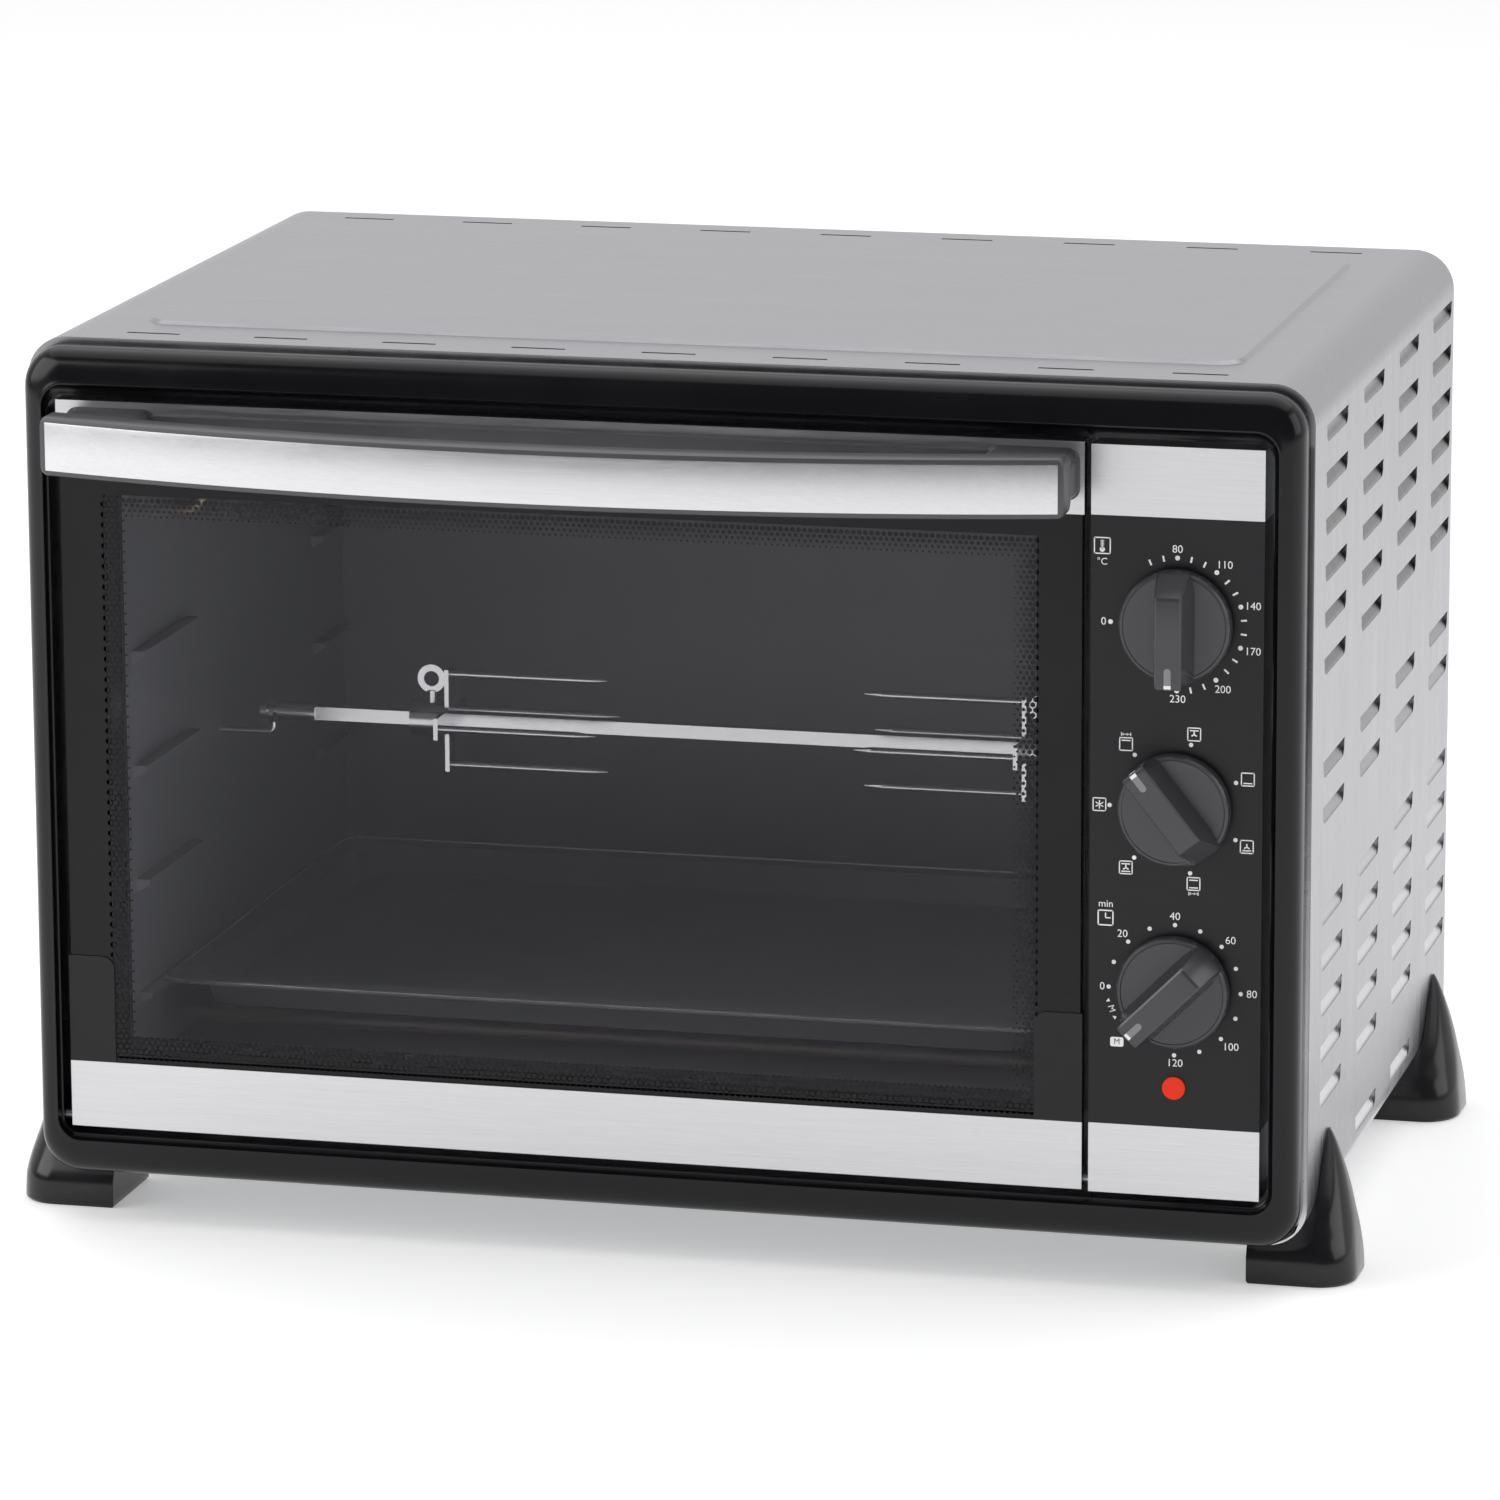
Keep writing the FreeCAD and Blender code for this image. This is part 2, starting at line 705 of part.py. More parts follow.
def spit_fork(left):
    """A hub on the square bar with a cross of four tines that point at the meat."""
    x0 = fork_x(left)
    x1 = x0 + fork_hub_length
    plate_x = x1 - 2.0 if left else x0
    arm = 5.0
    hub = rod_x(fork_hub_radius, x0, x1, spit_y, spit_z)
    reach = fork_reach + arm / 2
    bars = [
        box(plate_x, plate_x + 2.0, spit_y - reach, spit_y + reach, spit_z - arm, spit_z + arm),
        box(plate_x, plate_x + 2.0, spit_y - arm, spit_y + arm, spit_z - reach, spit_z + reach),
    ]
    tines = []
    sign = 1 if left else -1
    root = plate_x if left else plate_x + 2.0
    for dy, dz in ((1, 0), (-1, 0), (0, 1), (0, -1)):
        y = spit_y + dy * fork_reach
        z = spit_z + dz * fork_reach
        shank_end = root + sign * (fork_tine_length - 8.0)
        shank = rod_x(fork_tine_radius, min(root, shank_end), max(root, shank_end), y, z)
        point = Part.makeCone(fork_tine_radius, 0.3, 8.0, vec(shank_end, y, z),
                              vec(sign, 0, 0))
        tines += [shank, point]
    half = spit_side / 2
    hole = box(x0 - 1, x1 + 1, spit_y - half, spit_y + half, spit_z - half, spit_z + half)
    thread = rod_z(thumb_screw_radius, (x0 + x1) / 2, spit_y, spit_z, spit_z + 12)
    return fused([hub] + bars + tines).cut(hole).cut(thread)


def fork_screw(left):
    """The thumb screw that clamps a fork to the bar."""
    x = fork_x(left) + fork_hub_length / 2
    top = spit_z + fork_hub_radius + 5.0
    shank = rod_z(thumb_screw_radius, x, spit_y, spit_z + spit_side / 2, top)
    ring = rod_y(thumb_head_radius, x, spit_y - 1.5, spit_y + 1.5, top + thumb_head_radius - 1)
    eye = rod_y(thumb_head_radius - 3.0, x, spit_y - 2, spit_y + 2,
                top + thumb_head_radius - 1)
    return fused([shank, ring]).cut(eye)


def spit_drive_socket():
    """The turning socket in the right wall that takes the square bar, with its own shaft."""
    x0 = socket_x0()
    x1 = x0 + socket_length
    half = spit_side / 2
    body = rod_x(socket_radius, x0, x1, spit_y, spit_z)
    square = box(x0 - 1, x0 + 9.0, spit_y - half, spit_y + half, spit_z - half, spit_z + half)
    shaft = rod_x(shaft_radius, x1 - 1, x1 + 16.0, spit_y, spit_z)
    return fused([body.cut(square), shaft])


def spit_motor():
    x0 = socket_x0() + socket_length + 1.0
    x1 = x0 + motor_depth
    half = motor_width / 2
    case = box(x0, x0 + motor_depth * 0.45, spit_y - half, spit_y + half, spit_z - half,
               spit_z + half)
    winding = rod_x(half * 0.82, x0 + motor_depth * 0.4, x1, spit_y, spit_z)
    ears = box(x0, x0 + 2.0, spit_y - half - 8, spit_y + half + 8, spit_z - 7, spit_z + 7)
    bore = rod_x(shaft_radius + shaft_clearance, x0 - 1, x0 + 17.0, spit_y, spit_z)
    return fused([case, winding, ears]).cut(bore)


def fan_cover():
    """The perforated dish over the fan, on the cavity side of the right wall."""
    x1 = cavity_x1
    x0 = x1 - fan_cover_depth
    dish = Part.makeCone(fan_cover_radius, fan_cover_radius - 8.0, fan_cover_depth,
                         vec(x1, fan_y, fan_z), vec(-1, 0, 0))
    hollow = Part.makeCone(fan_cover_radius - 1.0, fan_cover_radius - 9.0, fan_cover_depth - 1.0,
                           vec(x1 + 0.001, fan_y, fan_z), vec(-1, 0, 0))
    holes = []
    for ring in range(1, 5):
        count = 6 * ring
        for index in range(count):
            angle = 2 * math.pi * index / count
            radius = 10.0 * ring
            y = fan_y + radius * math.cos(angle)
            z = fan_z + radius * math.sin(angle)
            holes.append(rod_x(3.2, x0 - 1, x0 + 3, y, z))
    return dish.cut(hollow).cut(Part.makeCompound(holes))


def convection_fan():
    x1 = cavity_x1 - 2.0
    x0 = x1 - fan_width
    hub = rod_x(9.0, x0, x1, fan_y, fan_z)
    shaft = rod_x(shaft_radius, x0 + 2, cavity_x1 + cavity_sheet + 22.0, fan_y, fan_z)
    disc = rod_x(fan_radius, x1 - 1.2, x1, fan_y, fan_z)
    blades = []
    for index in range(8):
        blade = box(x0, x1, fan_y - 0.6, fan_y + 0.6, fan_z + 14.0, fan_z + fan_radius - 1.0)
        blade.rotate(vec(0, fan_y, fan_z), vec(1, 0, 0), 45.0 * index)
        blades.append(blade)
    return fused([hub, shaft, disc] + blades)


def fan_motor():
    x0 = cavity_x1 + cavity_sheet + 4.0
    x1 = x0 + fan_motor_length
    body = rod_x(fan_motor_radius, x0 + 6, x1 - 6, fan_y, fan_z)
    ends = [rod_x(fan_motor_radius * 0.6, x0, x0 + 6, fan_y, fan_z),
            rod_x(fan_motor_radius * 0.6, x1 - 6, x1, fan_y, fan_z)]
    bridge = box(x0 + 8, x0 + 10, fan_y - fan_bridge_reach, fan_y + fan_bridge_reach,
                 fan_z - 8, fan_z + 8)
    bore = rod_x(shaft_radius + shaft_clearance, x0 - 1, x0 + 20.0, fan_y, fan_z)
    return fused([body, bridge] + ends).cut(bore)


def panel_box(z0, z1, closed_low, closed_high):
    """A folded tray open at the back, with side walls that reach the front plate."""
    wall = panel_wall
    tray = box(panel_x0, panel_x1, face_y, plate_y, z0, z1)
    hollow = box(panel_x0 + wall, panel_x1 - wall, face_y + wall, plate_y + 1,
                 z0 + (wall if closed_low else -1), z1 - (wall if closed_high else -1))
    return tray.cut(hollow)


def control_panel():
    panel = panel_box(panel_z0 + panel_bottom_trim_height, panel_z1 - panel_top_trim_height,
                      False, False)
    holes = [rod_y(shaft_radius + 1.0, knob_x, face_y - 1, face_y + 3, z) for z in knob_z]
    holes.append(rod_y(lamp_radius, knob_x, face_y - 1, face_y + 3, lamp_z))
    return panel.cut(Part.makeCompound(holes))


def panel_bottom_trim():
    trim = panel_box(panel_z0, panel_z0 + panel_bottom_trim_height, True, False)
    return trim.cut(rod_x(hinge_pin_radius + 0.5, panel_x0 - 1, panel_x0 + 3, hinge_y, hinge_z))


def panel_top_trim():
    return panel_box(panel_z1 - panel_top_trim_height, panel_z1, False, True)


def knob(z, pointer):
    """A round skirt with a raised grip bar, its pointer turned to the given clock angle."""
    y1 = face_y - knob_gap
    y0 = y1 - knob_height
    skirt = rod_y(knob_radius, knob_x, y1 - knob_skirt, y1, z)
    edge = [e for e in skirt.Edges if abs(e.BoundBox.YMax - (y1 - knob_skirt)) < 0.01]
    skirt = skirt.makeFillet(2.2, [e for e in edge if e.BoundBox.YMin < y1 - knob_skirt + 0.01])
    half = knob_bar_width / 2
    flare = half + 3.0
    section = [
        vec(knob_x - half, y0, z), vec(knob_x + half, y0, z),
        vec(knob_x + flare, y1 - knob_skirt + 1, z), vec(knob_x - flare, y1 - knob_skirt + 1, z),
    ]
    bar = prism([point + vec(0, 0, -knob_radius) for point in section],
                vec(0, 0, 2 * knob_radius))
    crown = rod_y(knob_radius, knob_x, y0 - 1, y1, z)
    top_cut = prism([vec(knob_x - 20, y0 - 1, z - knob_radius - 1),
                     vec(knob_x - 20, y0 - 1, z - knob_radius + 9),
                     vec(knob_x - 20, y0 + 8, z - knob_radius - 1)], vec(40, 0, 0))
    bar = bar.common(crown).cut(top_cut)
    mark = box(knob_x - 1.0, knob_x + 1.0, y0 - 1, y0 + 0.4, z + 6.0, z + knob_radius - 1.0)
    bore = rod_y(shaft_radius, knob_x, y1 - shaft_in_knob, y1 + 1, z)
    shape = fused([skirt, bar]).cut(mark).cut(bore)
    shape.rotate(vec(knob_x, 0, z), vec(0, 1, 0), pointer)
    return shape


def knob_shaft(z):
    y0 = face_y - knob_gap - shaft_in_knob
    y1 = plate_y + plate_sheet + 12.0
    return rod_y(shaft_radius, knob_x, y0, y1, z)


def device(z, width, height, depth, drum):
    """A switch body on the front plate, with a bore for its shaft and a drum behind."""
    y0 = plate_y + plate_sheet
    body = box(knob_x - width / 2, knob_x + width / 2, y0, y0 + depth, z - height / 2,
               z + height / 2)
    back = rod_y(drum, knob_x, y0 + depth - 1, y0 + depth + 9.0, z)
    bore = rod_y(shaft_radius + shaft_clearance, knob_x, y0 - 1, y0 + 12.5, z)
    return fused([body, back]).cut(bore)


def indicator_lamp():
    """A red lens in the panel on a round lamp body."""
    lens = rod_y(lamp_radius, knob_x, face_y - 1.2, face_y + panel_wall, lamp_z)
    rim = rod_y(lamp_radius + 1.5, knob_x, face_y + panel_wall, face_y + panel_wall + 2, lamp_z)
    body = rod_y(lamp_radius, knob_x, face_y + panel_wall, plate_y + 8.0, lamp_z)
    return fused([lens, rim, body])


def door_window():
    return (door_x0 + door_window_border, door_x1 - door_window_border,
            door_z0 + door_window_low, door_z1 - door_window_high)


def door_frame():
    """The folded steel frame behind the glass, with the two hinge bosses."""
    glass_back = face_y + trim_sheet + glass_thickness
    skin = door_skin
    x0, x1, z0, z1 = door_window()
    ring = box(door_x0, door_x1, glass_back, door_back_y, door_z0 + trim_sheet,
               door_z1 - trim_sheet)
    window = box(x0, x1, glass_back - 1, door_back_y + 1, z0, z1)
    pocket = box(door_x0 + skin, door_x1 - skin, glass_back - 1, door_back_y - skin,
                 door_z0 + trim_sheet + skin, door_z1 - trim_sheet - skin)
    keep = box(x0 - skin, x1 + skin, glass_back - 2, door_back_y, z0 - skin, z1 + skin)
    ring = ring.cut(window).cut(pocket.cut(keep))
    bore = rod_x(hinge_pin_radius + shaft_clearance, door_x0 - 1, door_x1 + 1, hinge_y, hinge_z)
    bosses = []
    low = door_z0 + trim_sheet
    for x in (door_x0, door_x1 - hinge_boss_length):
        bosses.append(box(x, x + hinge_boss_length, face_y + trim_sheet, glass_back + 8, low,
                          hinge_z + 6.0))
    return fused([ring] + bosses).cut(bore)


def glass_z0():
    return door_z0 + trim_bottom_height - glass_under_trim


def door_glass():
    y0 = face_y + trim_sheet
    return box(door_x0 + glass_side_play, door_x1 - glass_side_play, y0, y0 + glass_thickness,
               glass_z0(), door_z1 - trim_top_height + glass_under_trim)


def door_top_trim():
    z0 = door_z1 - trim_top_height
    face = box(door_x0, door_x1, face_y, face_y + trim_sheet, z0, door_z1)
    lip = box(door_x0, door_x1, face_y, door_back_y - door_skin, door_z1 - trim_sheet, door_z1)
    low, high = handle_z()
    holes = [rod_y(handle_screw_radius, x, face_y - 1, face_y + 2, (low + high) / 2)
             for x in handle_screw_x()]
    return fused([face, lip]).cut(Part.makeCompound(holes))


def door_bottom_trim():
    z1 = door_z0 + trim_bottom_height
    face = box(door_x0, door_x1, face_y, face_y + trim_sheet, door_z0, z1)
    lip = box(door_x0, door_x1, face_y, door_back_y - door_skin, door_z0, door_z0 + trim_sheet)
    return fused([face, lip])


def door_seal():
    """The silicone gasket on the front plate, round the mouth of the cavity."""
    x0 = cavity_x0
    x1 = cavity_x1
    width = 8.0
    y0 = plate_y - door_to_plate + 0.3
    outer = slab_y(x0 - width, x1 + width, cavity_z0 - width, cavity_z1 + width, 10.0, y0,
                   plate_y)
    inner = slab_y(x0, x1, cavity_z0, cavity_z1, 4.0, y0 - 1, plate_y + 1)
    return outer.cut(inner)


def corner_plate(left):
    """The black plate over a lower corner of the glass, above the hinge."""
    x0 = door_x0 if left else door_x1 - corner_plate_width
    z0 = door_z0 + trim_bottom_height
    y0 = face_y + 0.1
    plate = box(x0, x0 + corner_plate_width, y0, face_y + trim_sheet, z0,
                z0 + corner_plate_height)
    inner_x = x0 + corner_plate_width if left else x0
    edges = [e for e in plate.Edges
             if abs(e.BoundBox.XMin - inner_x) < 0.01 and abs(e.BoundBox.XMax - inner_x) < 0.01
             and e.BoundBox.ZMin > z0 + corner_plate_height - 0.01 and e.BoundBox.YLength > 0.1]
    return plate.makeFillet(5.5, edges)


def handle_span():
    return door_x0 + handle_left_inset, door_x1 - handle_right_inset


def bow_radius():
    x0, x1 = handle_span()
    half = (x1 - x0) / 2
    return (half * half + handle_bow * handle_bow) / (2 * handle_bow)


def bow_cylinder(offset, z0, z1):
    """The upright cylinder whose front follows the bowed face, offset back by a distance."""
    x0, x1 = handle_span()
    front = face_y - handle_end_reach - handle_bow
    radius = bow_radius()
    return Part.makeCylinder(radius - offset, z1 - z0,
                             vec((x0 + x1) / 2, front + radius, z0), vec(0, 0, 1))


def handle_z():
    z1 = door_z1 - handle_below_edge
    return z1 - handle_height, z1


def handle_body():
    """The dark grey grip: a base on the top trim, two end blocks and a bowed bar."""
    x0, x1 = handle_span()
    z0, z1 = handle_z()
    front = face_y - handle_end_reach - handle_bow - 1
    reach = slab_y(x0, x1, z0, z1, handle_corner_radius, front,
                   face_y - handle_end_reach + handle_thickness)
    bar = reach.common(bow_cylinder(0, z0, z1)).cut(bow_cylinder(handle_thickness, z0 - 1,
                                                                 z1 + 1))
    base = box(x0 + 10, x1 - 10, face_y - handle_base_thickness, face_y,
               z0 + handle_end_lower, z1 - handle_base_lower)
    low = z0 + handle_end_lower
    high = z1 - handle_end_lower
    ends = slab_y(x0, x1, low, high, handle_root_radius, front, face_y)
    middle = box(x0 + handle_end_width, x1 - handle_end_width, front - 1, face_y + 1,
                 z0 - 1, z1 + 1)
    ends = ends.common(bow_cylinder(1.0, low, high)).cut(middle)
    body = fused([bar, base, ends])
    border = handle_strip_border
    groove = bow_cylinder(-1, z0 + border, z1 - border).cut(
        bow_cylinder(handle_strip_sheet - handle_strip_proud, z0, z1))
    lane = box(x0 + border, x1 - border, front - 5, face_y - handle_end_reach + 2, z0, z1)
    body = body.cut(groove.common(lane))
    screws = [rod_y(handle_screw_radius, x, face_y - 12.0, face_y + 1, (z0 + z1) / 2)
              for x in handle_screw_x()]
    return body.cut(Part.makeCompound(screws))


def handle_face():
    """The brushed steel strip let into the front of the grip."""
    x0, x1 = handle_span()
    z0, z1 = handle_z()
    border = handle_strip_border
    low = z0 + border
    high = z1 - border
    proud = bow_cylinder(-handle_strip_proud, low, high)
    seat = bow_cylinder(handle_strip_sheet - handle_strip_proud, low - 1, high + 1)
    lane = box(x0 + border, x1 - border, face_y - handle_reach - 5,
               face_y - handle_end_reach + 2, low, high)
    return proud.cut(seat).common(lane)


def handle_screw_x():
    x0, x1 = handle_span()
    return x0 + handle_end_width / 2, x1 - handle_end_width / 2


def handle_screws():
    """The two screws through the door's top trim and frame into the grip's end blocks."""
    z0, z1 = handle_z()
    screws = []
    for x in handle_screw_x():
        z = (z0 + z1) / 2
        shank = rod_y(handle_screw_radius, x, face_y - 12.0, face_y + trim_sheet + 2, z)
        head = rod_y(4.5, x, face_y + trim_sheet, face_y + trim_sheet + 3.0, z)
        screws.append(fused([shank, head]))
    return Part.makeCompound(screws)


def hinge_pin(left):
    """A headed pin from the frame or the panel bracket into the door's boss."""
    length = 6.0
    if left:
        x0 = mouth_x0 - frame_wall
        pin = rod_x(hinge_pin_radius, x0, door_x0 + length, hinge_y, hinge_z)
        head = rod_x(hinge_pin_radius + 0.7, x0 - 1.5, x0, hinge_y, hinge_z)
    else:
        x1 = panel_x0 + panel_wall + 8.0
        pin = rod_x(hinge_pin_radius, door_x1 - length, x1, hinge_y, hinge_z)
        head = rod_x(hinge_pin_radius + 0.7, x1, x1 + 1.5, hinge_y, hinge_z)
    return fused([pin, head])


def hinge_bracket():
    """The block behind the lower panel trim that holds the right hinge pin."""
    x0 = panel_x0 + panel_wall
    block = box(x0, x0 + 8.0, face_y + panel_wall, plate_y, panel_z0 + panel_wall, hinge_z + 8.0)
    return block.cut(rod_x(hinge_pin_radius, x0 - 1, x0 + 9, hinge_y, hinge_z))


def foot(front, right):
    """A black moulded foot under the corner with a horn that rises up the casing's side."""
    y0 = front_y + foot_front + (0 if front else foot_spacing)
    y1 = y0 + foot_length
    inner = half_casing - foot_inner
    top = ground_clearance + foot_horn_height
    stages = 9
    wires = []
    for index in range(stages):
        t = index / (stages - 1)
        z = top * t
        rise = max(0.0, z - ground_clearance) / foot_horn_height
        outer = half_casing + 0.9 + (foot_flare - 0.9) * math.cos(t * math.pi / 2) ** 0.8
        near = y0 + foot_horn_back * rise ** 0.9
        far = y1 - (foot_length - foot_horn_back - 3.0) * t ** 1.5
        radius = min(9.0 - 7.0 * t, (far - near) * 0.42)
        root = half_casing - 30.0
        wires.append(rounded_wire(root, outer, near, far, radius, level(z)))
    horn = Part.makeLoft(wires, True, True)
    pad = Part.Face(rounded_wire(inner, half_casing - 8.0, y0, y1, 5.0, level(0)))
    pad = pad.extrude(vec(0, 0, ground_clearance))
    join = box(half_casing - 21.0, half_casing - 10.0, y0, y1, 0, ground_clearance)
    casing = slab_y(-half_casing - foot_play, half_casing + foot_play, ground_clearance,
                    casing_top, casing_radius, front_y - 30, rear_y + 30)
    foot_shape = fused([horn, pad, join]).cut(casing)
    return foot_shape if right else mirrored(foot_shape)


def casing_screws():
    """Screws round the edge of the rear panel and one through each foot."""
    y = rear_y - rear_recess + plate_sheet
    screws = []
    for x in (-half_casing + 20.0, 0.0, half_casing - 20.0):
        for z in (ground_clearance + 22.0, casing_top - 22.0):
            screws.append(rod_y(screw_radius, x, y, y + screw_head, z))
    return Part.makeCompound(screws)


parts = {
    "outer_casing": outer_casing,
    "base_pan": base_pan,
    "rear_panel": rear_panel,
    "cord_gland": cord_gland,
    "casing_screws": casing_screws,
    "front_frame": front_frame,
    "front_plate": front_plate,
    "cavity_left_wall": lambda: cavity_side(True),
    "cavity_right_wall": lambda: cavity_side(False),
    "cavity_floor": lambda: cavity_sheet_level(cavity_z0 - cavity_sheet),
    "cavity_ceiling": lambda: cavity_sheet_level(cavity_z1),
    "cavity_back": cavity_back,
    "door_seal": door_seal,
    "drip_tray": drip_tray,
    "element_insulators": element_insulators,
    "spit_rod": spit_rod,
    "spit_fork_left": lambda: spit_fork(True),
    "spit_fork_right": lambda: spit_fork(False),
    "fork_screw_left": lambda: fork_screw(True),
    "fork_screw_right": lambda: fork_screw(False),
    "spit_drive_socket": spit_drive_socket,
    "spit_support_hook": spit_support_hook,
    "spit_motor": spit_motor,
    "fan_cover": fan_cover,
    "convection_fan": convection_fan,
    "fan_motor": fan_motor,
    "control_panel": control_panel,
    "panel_top_trim": panel_top_trim,
    "panel_bottom_trim": panel_bottom_trim,
    "temperature_knob": lambda: knob(knob_z[0], 180.0),
    "function_knob": lambda: knob(knob_z[1], -38.6),
    "timer_knob": lambda: knob(knob_z[2], -135.0),
    "temperature_shaft": lambda: knob_shaft(knob_z[0]),
    "function_shaft": lambda: knob_shaft(knob_z[1]),
    "timer_shaft": lambda: knob_shaft(knob_z[2]),
    "thermostat": lambda: device(knob_z[0], 36.0, 30.0, 26.0, 10.0),
    "function_switch": lambda: device(knob_z[1], 40.0, 40.0, 34.0, 14.0),
    "timer_mechanism": lambda: device(knob_z[2], 48.0, 44.0, 30.0, 20.0),
    "indicator_lamp": indicator_lamp,
    "door_frame": door_frame,
    "door_glass": door_glass,
    "door_top_trim": door_top_trim,
    "door_bottom_trim": door_bottom_trim,
    "door_corner_plate_left": lambda: corner_plate(True),
    "door_corner_plate_right": lambda: corner_plate(False),
    "handle_body": handle_body,
    "handle_face": handle_face,
    "handle_screws": handle_screws,
    "hinge_pin_left": lambda: hinge_pin(True),
    "hinge_pin_right": lambda: hinge_pin(False),
    "hinge_bracket": hinge_bracket,
    "foot_front_left": lambda: foot(True, False),
    "foot_front_right": lambda: foot(True, True),
    "foot_rear_left": lambda: foot(False, False),
    "foot_rear_right": lambda: foot(False, True),
}

for element_name, element_y, left_height, right_height in element_ends():
    parts[element_name] = (
        lambda y=element_y, a=left_height, b=right_height: heating_element(y, a, b)
    )

os.makedirs("parts", exist_ok=True)
for name, make in parts.items():
    shape = make()
    if not shape.isValid():
        print("invalid shape:", name)
    shape.exportStep("parts/" + name + ".step")
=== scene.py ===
import math

import bmesh
import bpy
from mathutils import Matrix, Vector


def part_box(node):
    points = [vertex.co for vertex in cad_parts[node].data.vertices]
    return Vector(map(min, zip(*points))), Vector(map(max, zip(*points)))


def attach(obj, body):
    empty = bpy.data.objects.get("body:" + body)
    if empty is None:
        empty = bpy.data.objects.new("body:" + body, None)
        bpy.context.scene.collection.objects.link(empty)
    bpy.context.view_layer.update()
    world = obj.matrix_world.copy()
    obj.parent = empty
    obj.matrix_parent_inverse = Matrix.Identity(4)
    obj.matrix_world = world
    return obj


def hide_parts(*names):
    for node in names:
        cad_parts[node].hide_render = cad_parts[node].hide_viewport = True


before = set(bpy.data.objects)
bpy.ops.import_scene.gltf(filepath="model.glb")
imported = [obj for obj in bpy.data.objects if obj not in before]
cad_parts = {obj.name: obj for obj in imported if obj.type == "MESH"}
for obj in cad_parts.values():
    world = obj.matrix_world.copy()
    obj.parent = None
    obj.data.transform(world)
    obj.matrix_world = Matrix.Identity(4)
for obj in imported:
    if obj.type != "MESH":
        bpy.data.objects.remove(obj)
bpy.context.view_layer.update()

MM = 0.001


# ---------------------------------------------------------------- node and mesh helpers

def new_material(name):
    """An empty principled material, its node tree and its shader."""
    material = bpy.data.materials.new(name)
    material.use_nodes = True
    tree = material.node_tree
    shader = tree.nodes["Principled BSDF"]
    return material, tree, shader


def node(tree, kind, **inputs):
    made = tree.nodes.new(kind)
    for key, value in inputs.items():
        made.inputs[key.replace("_", " ")].default_value = value
    return made


def stretched_noise(tree, scale, detail=3.0, roughness=0.6):
    """Noise in the object's own space, with a scale of its own along each axis."""
    coords = tree.nodes.new("ShaderNodeTexCoord")
    mapping = tree.nodes.new("ShaderNodeMapping")
    mapping.inputs["Scale"].default_value = scale
    noise = node(tree, "ShaderNodeTexNoise", Scale=1.0, Detail=detail, Roughness=roughness)
    tree.links.new(coords.outputs["Object"], mapping.inputs["Vector"])
    tree.links.new(mapping.outputs["Vector"], noise.inputs["Vector"])
    return noise.outputs["Fac"]


def remap(tree, value, low, high):
    ranged = node(tree, "ShaderNodeMapRange")
    ranged.inputs["From Min"].default_value = 0.3
    ranged.inputs["From Max"].default_value = 0.7
    ranged.inputs["To Min"].default_value = low
    ranged.inputs["To Max"].default_value = high
    tree.links.new(value, ranged.inputs["Value"])
    return ranged.outputs["Result"]


def tint(tree, value, dark, light):
    mix = tree.nodes.new("ShaderNodeMix")
    mix.data_type = "RGBA"
    mix.inputs["A"].default_value = (*dark, 1.0)
    mix.inputs["B"].default_value = (*light, 1.0)
    tree.links.new(value, mix.inputs["Factor"])
    return mix.outputs["Result"]


def bump(tree, value, shader, strength, distance):
    bumped = node(tree, "ShaderNodeBump", Strength=strength, Distance=distance)
    tree.links.new(value, bumped.inputs["Height"])
    tree.links.new(bumped.outputs["Normal"], shader.inputs["Normal"])


def brushed(name, dark, light, roughness, grain, spread=0.06, height=0.25, metallic=1.0,
            shine=0.5):
    """Brushed sheet: fine scratches along the axis with the smallest grain scale."""
    material, tree, shader = new_material(name)
    fine = stretched_noise(tree, grain, 4.0, 0.7)
    broad = stretched_noise(tree, tuple(g * 0.12 for g in grain), 2.0)
    both = tree.nodes.new("ShaderNodeMath")
    both.operation = "MULTIPLY_ADD"
    both.inputs[1].default_value = 0.7
    tree.links.new(fine, both.inputs[0])
    share = tree.nodes.new("ShaderNodeMath")
    share.operation = "MULTIPLY"
    share.inputs[1].default_value = 0.3
    tree.links.new(broad, share.inputs[0])
    tree.links.new(share.outputs[0], both.inputs[2])
    grain_value = both.outputs[0]
    tree.links.new(tint(tree, grain_value, dark, light), shader.inputs["Base Color"])
    tree.links.new(remap(tree, grain_value, roughness - spread, roughness + spread),
                   shader.inputs["Roughness"])
    shader.inputs["Metallic"].default_value = metallic
    shader.inputs["Specular IOR Level"].default_value = shine
    bump(tree, fine, shader, height, 0.00004)
    return material


def moulded(name, colour, roughness, grain=2500.0, height=0.12, coat=0.0, shine=0.5):
    """Moulded plastic or stove paint: a faint orange-peel surface and uneven gloss."""
    material, tree, shader = new_material(name)
    fine = stretched_noise(tree, (grain,) * 3, 3.0)
    broad = stretched_noise(tree, (22.0,) * 3, 2.0)
    darker = tuple(c * 0.88 for c in colour)
    lighter = tuple(min(1.0, c * 1.12) for c in colour)
    tree.links.new(tint(tree, broad, darker, lighter), shader.inputs["Base Color"])
    tree.links.new(remap(tree, broad, roughness - 0.04, roughness + 0.05),
                   shader.inputs["Roughness"])
    shader.inputs["Specular IOR Level"].default_value = shine
    shader.inputs["Coat Weight"].default_value = coat
    shader.inputs["Coat Roughness"].default_value = 0.12
    bump(tree, fine, shader, height, 0.00008)
    return material


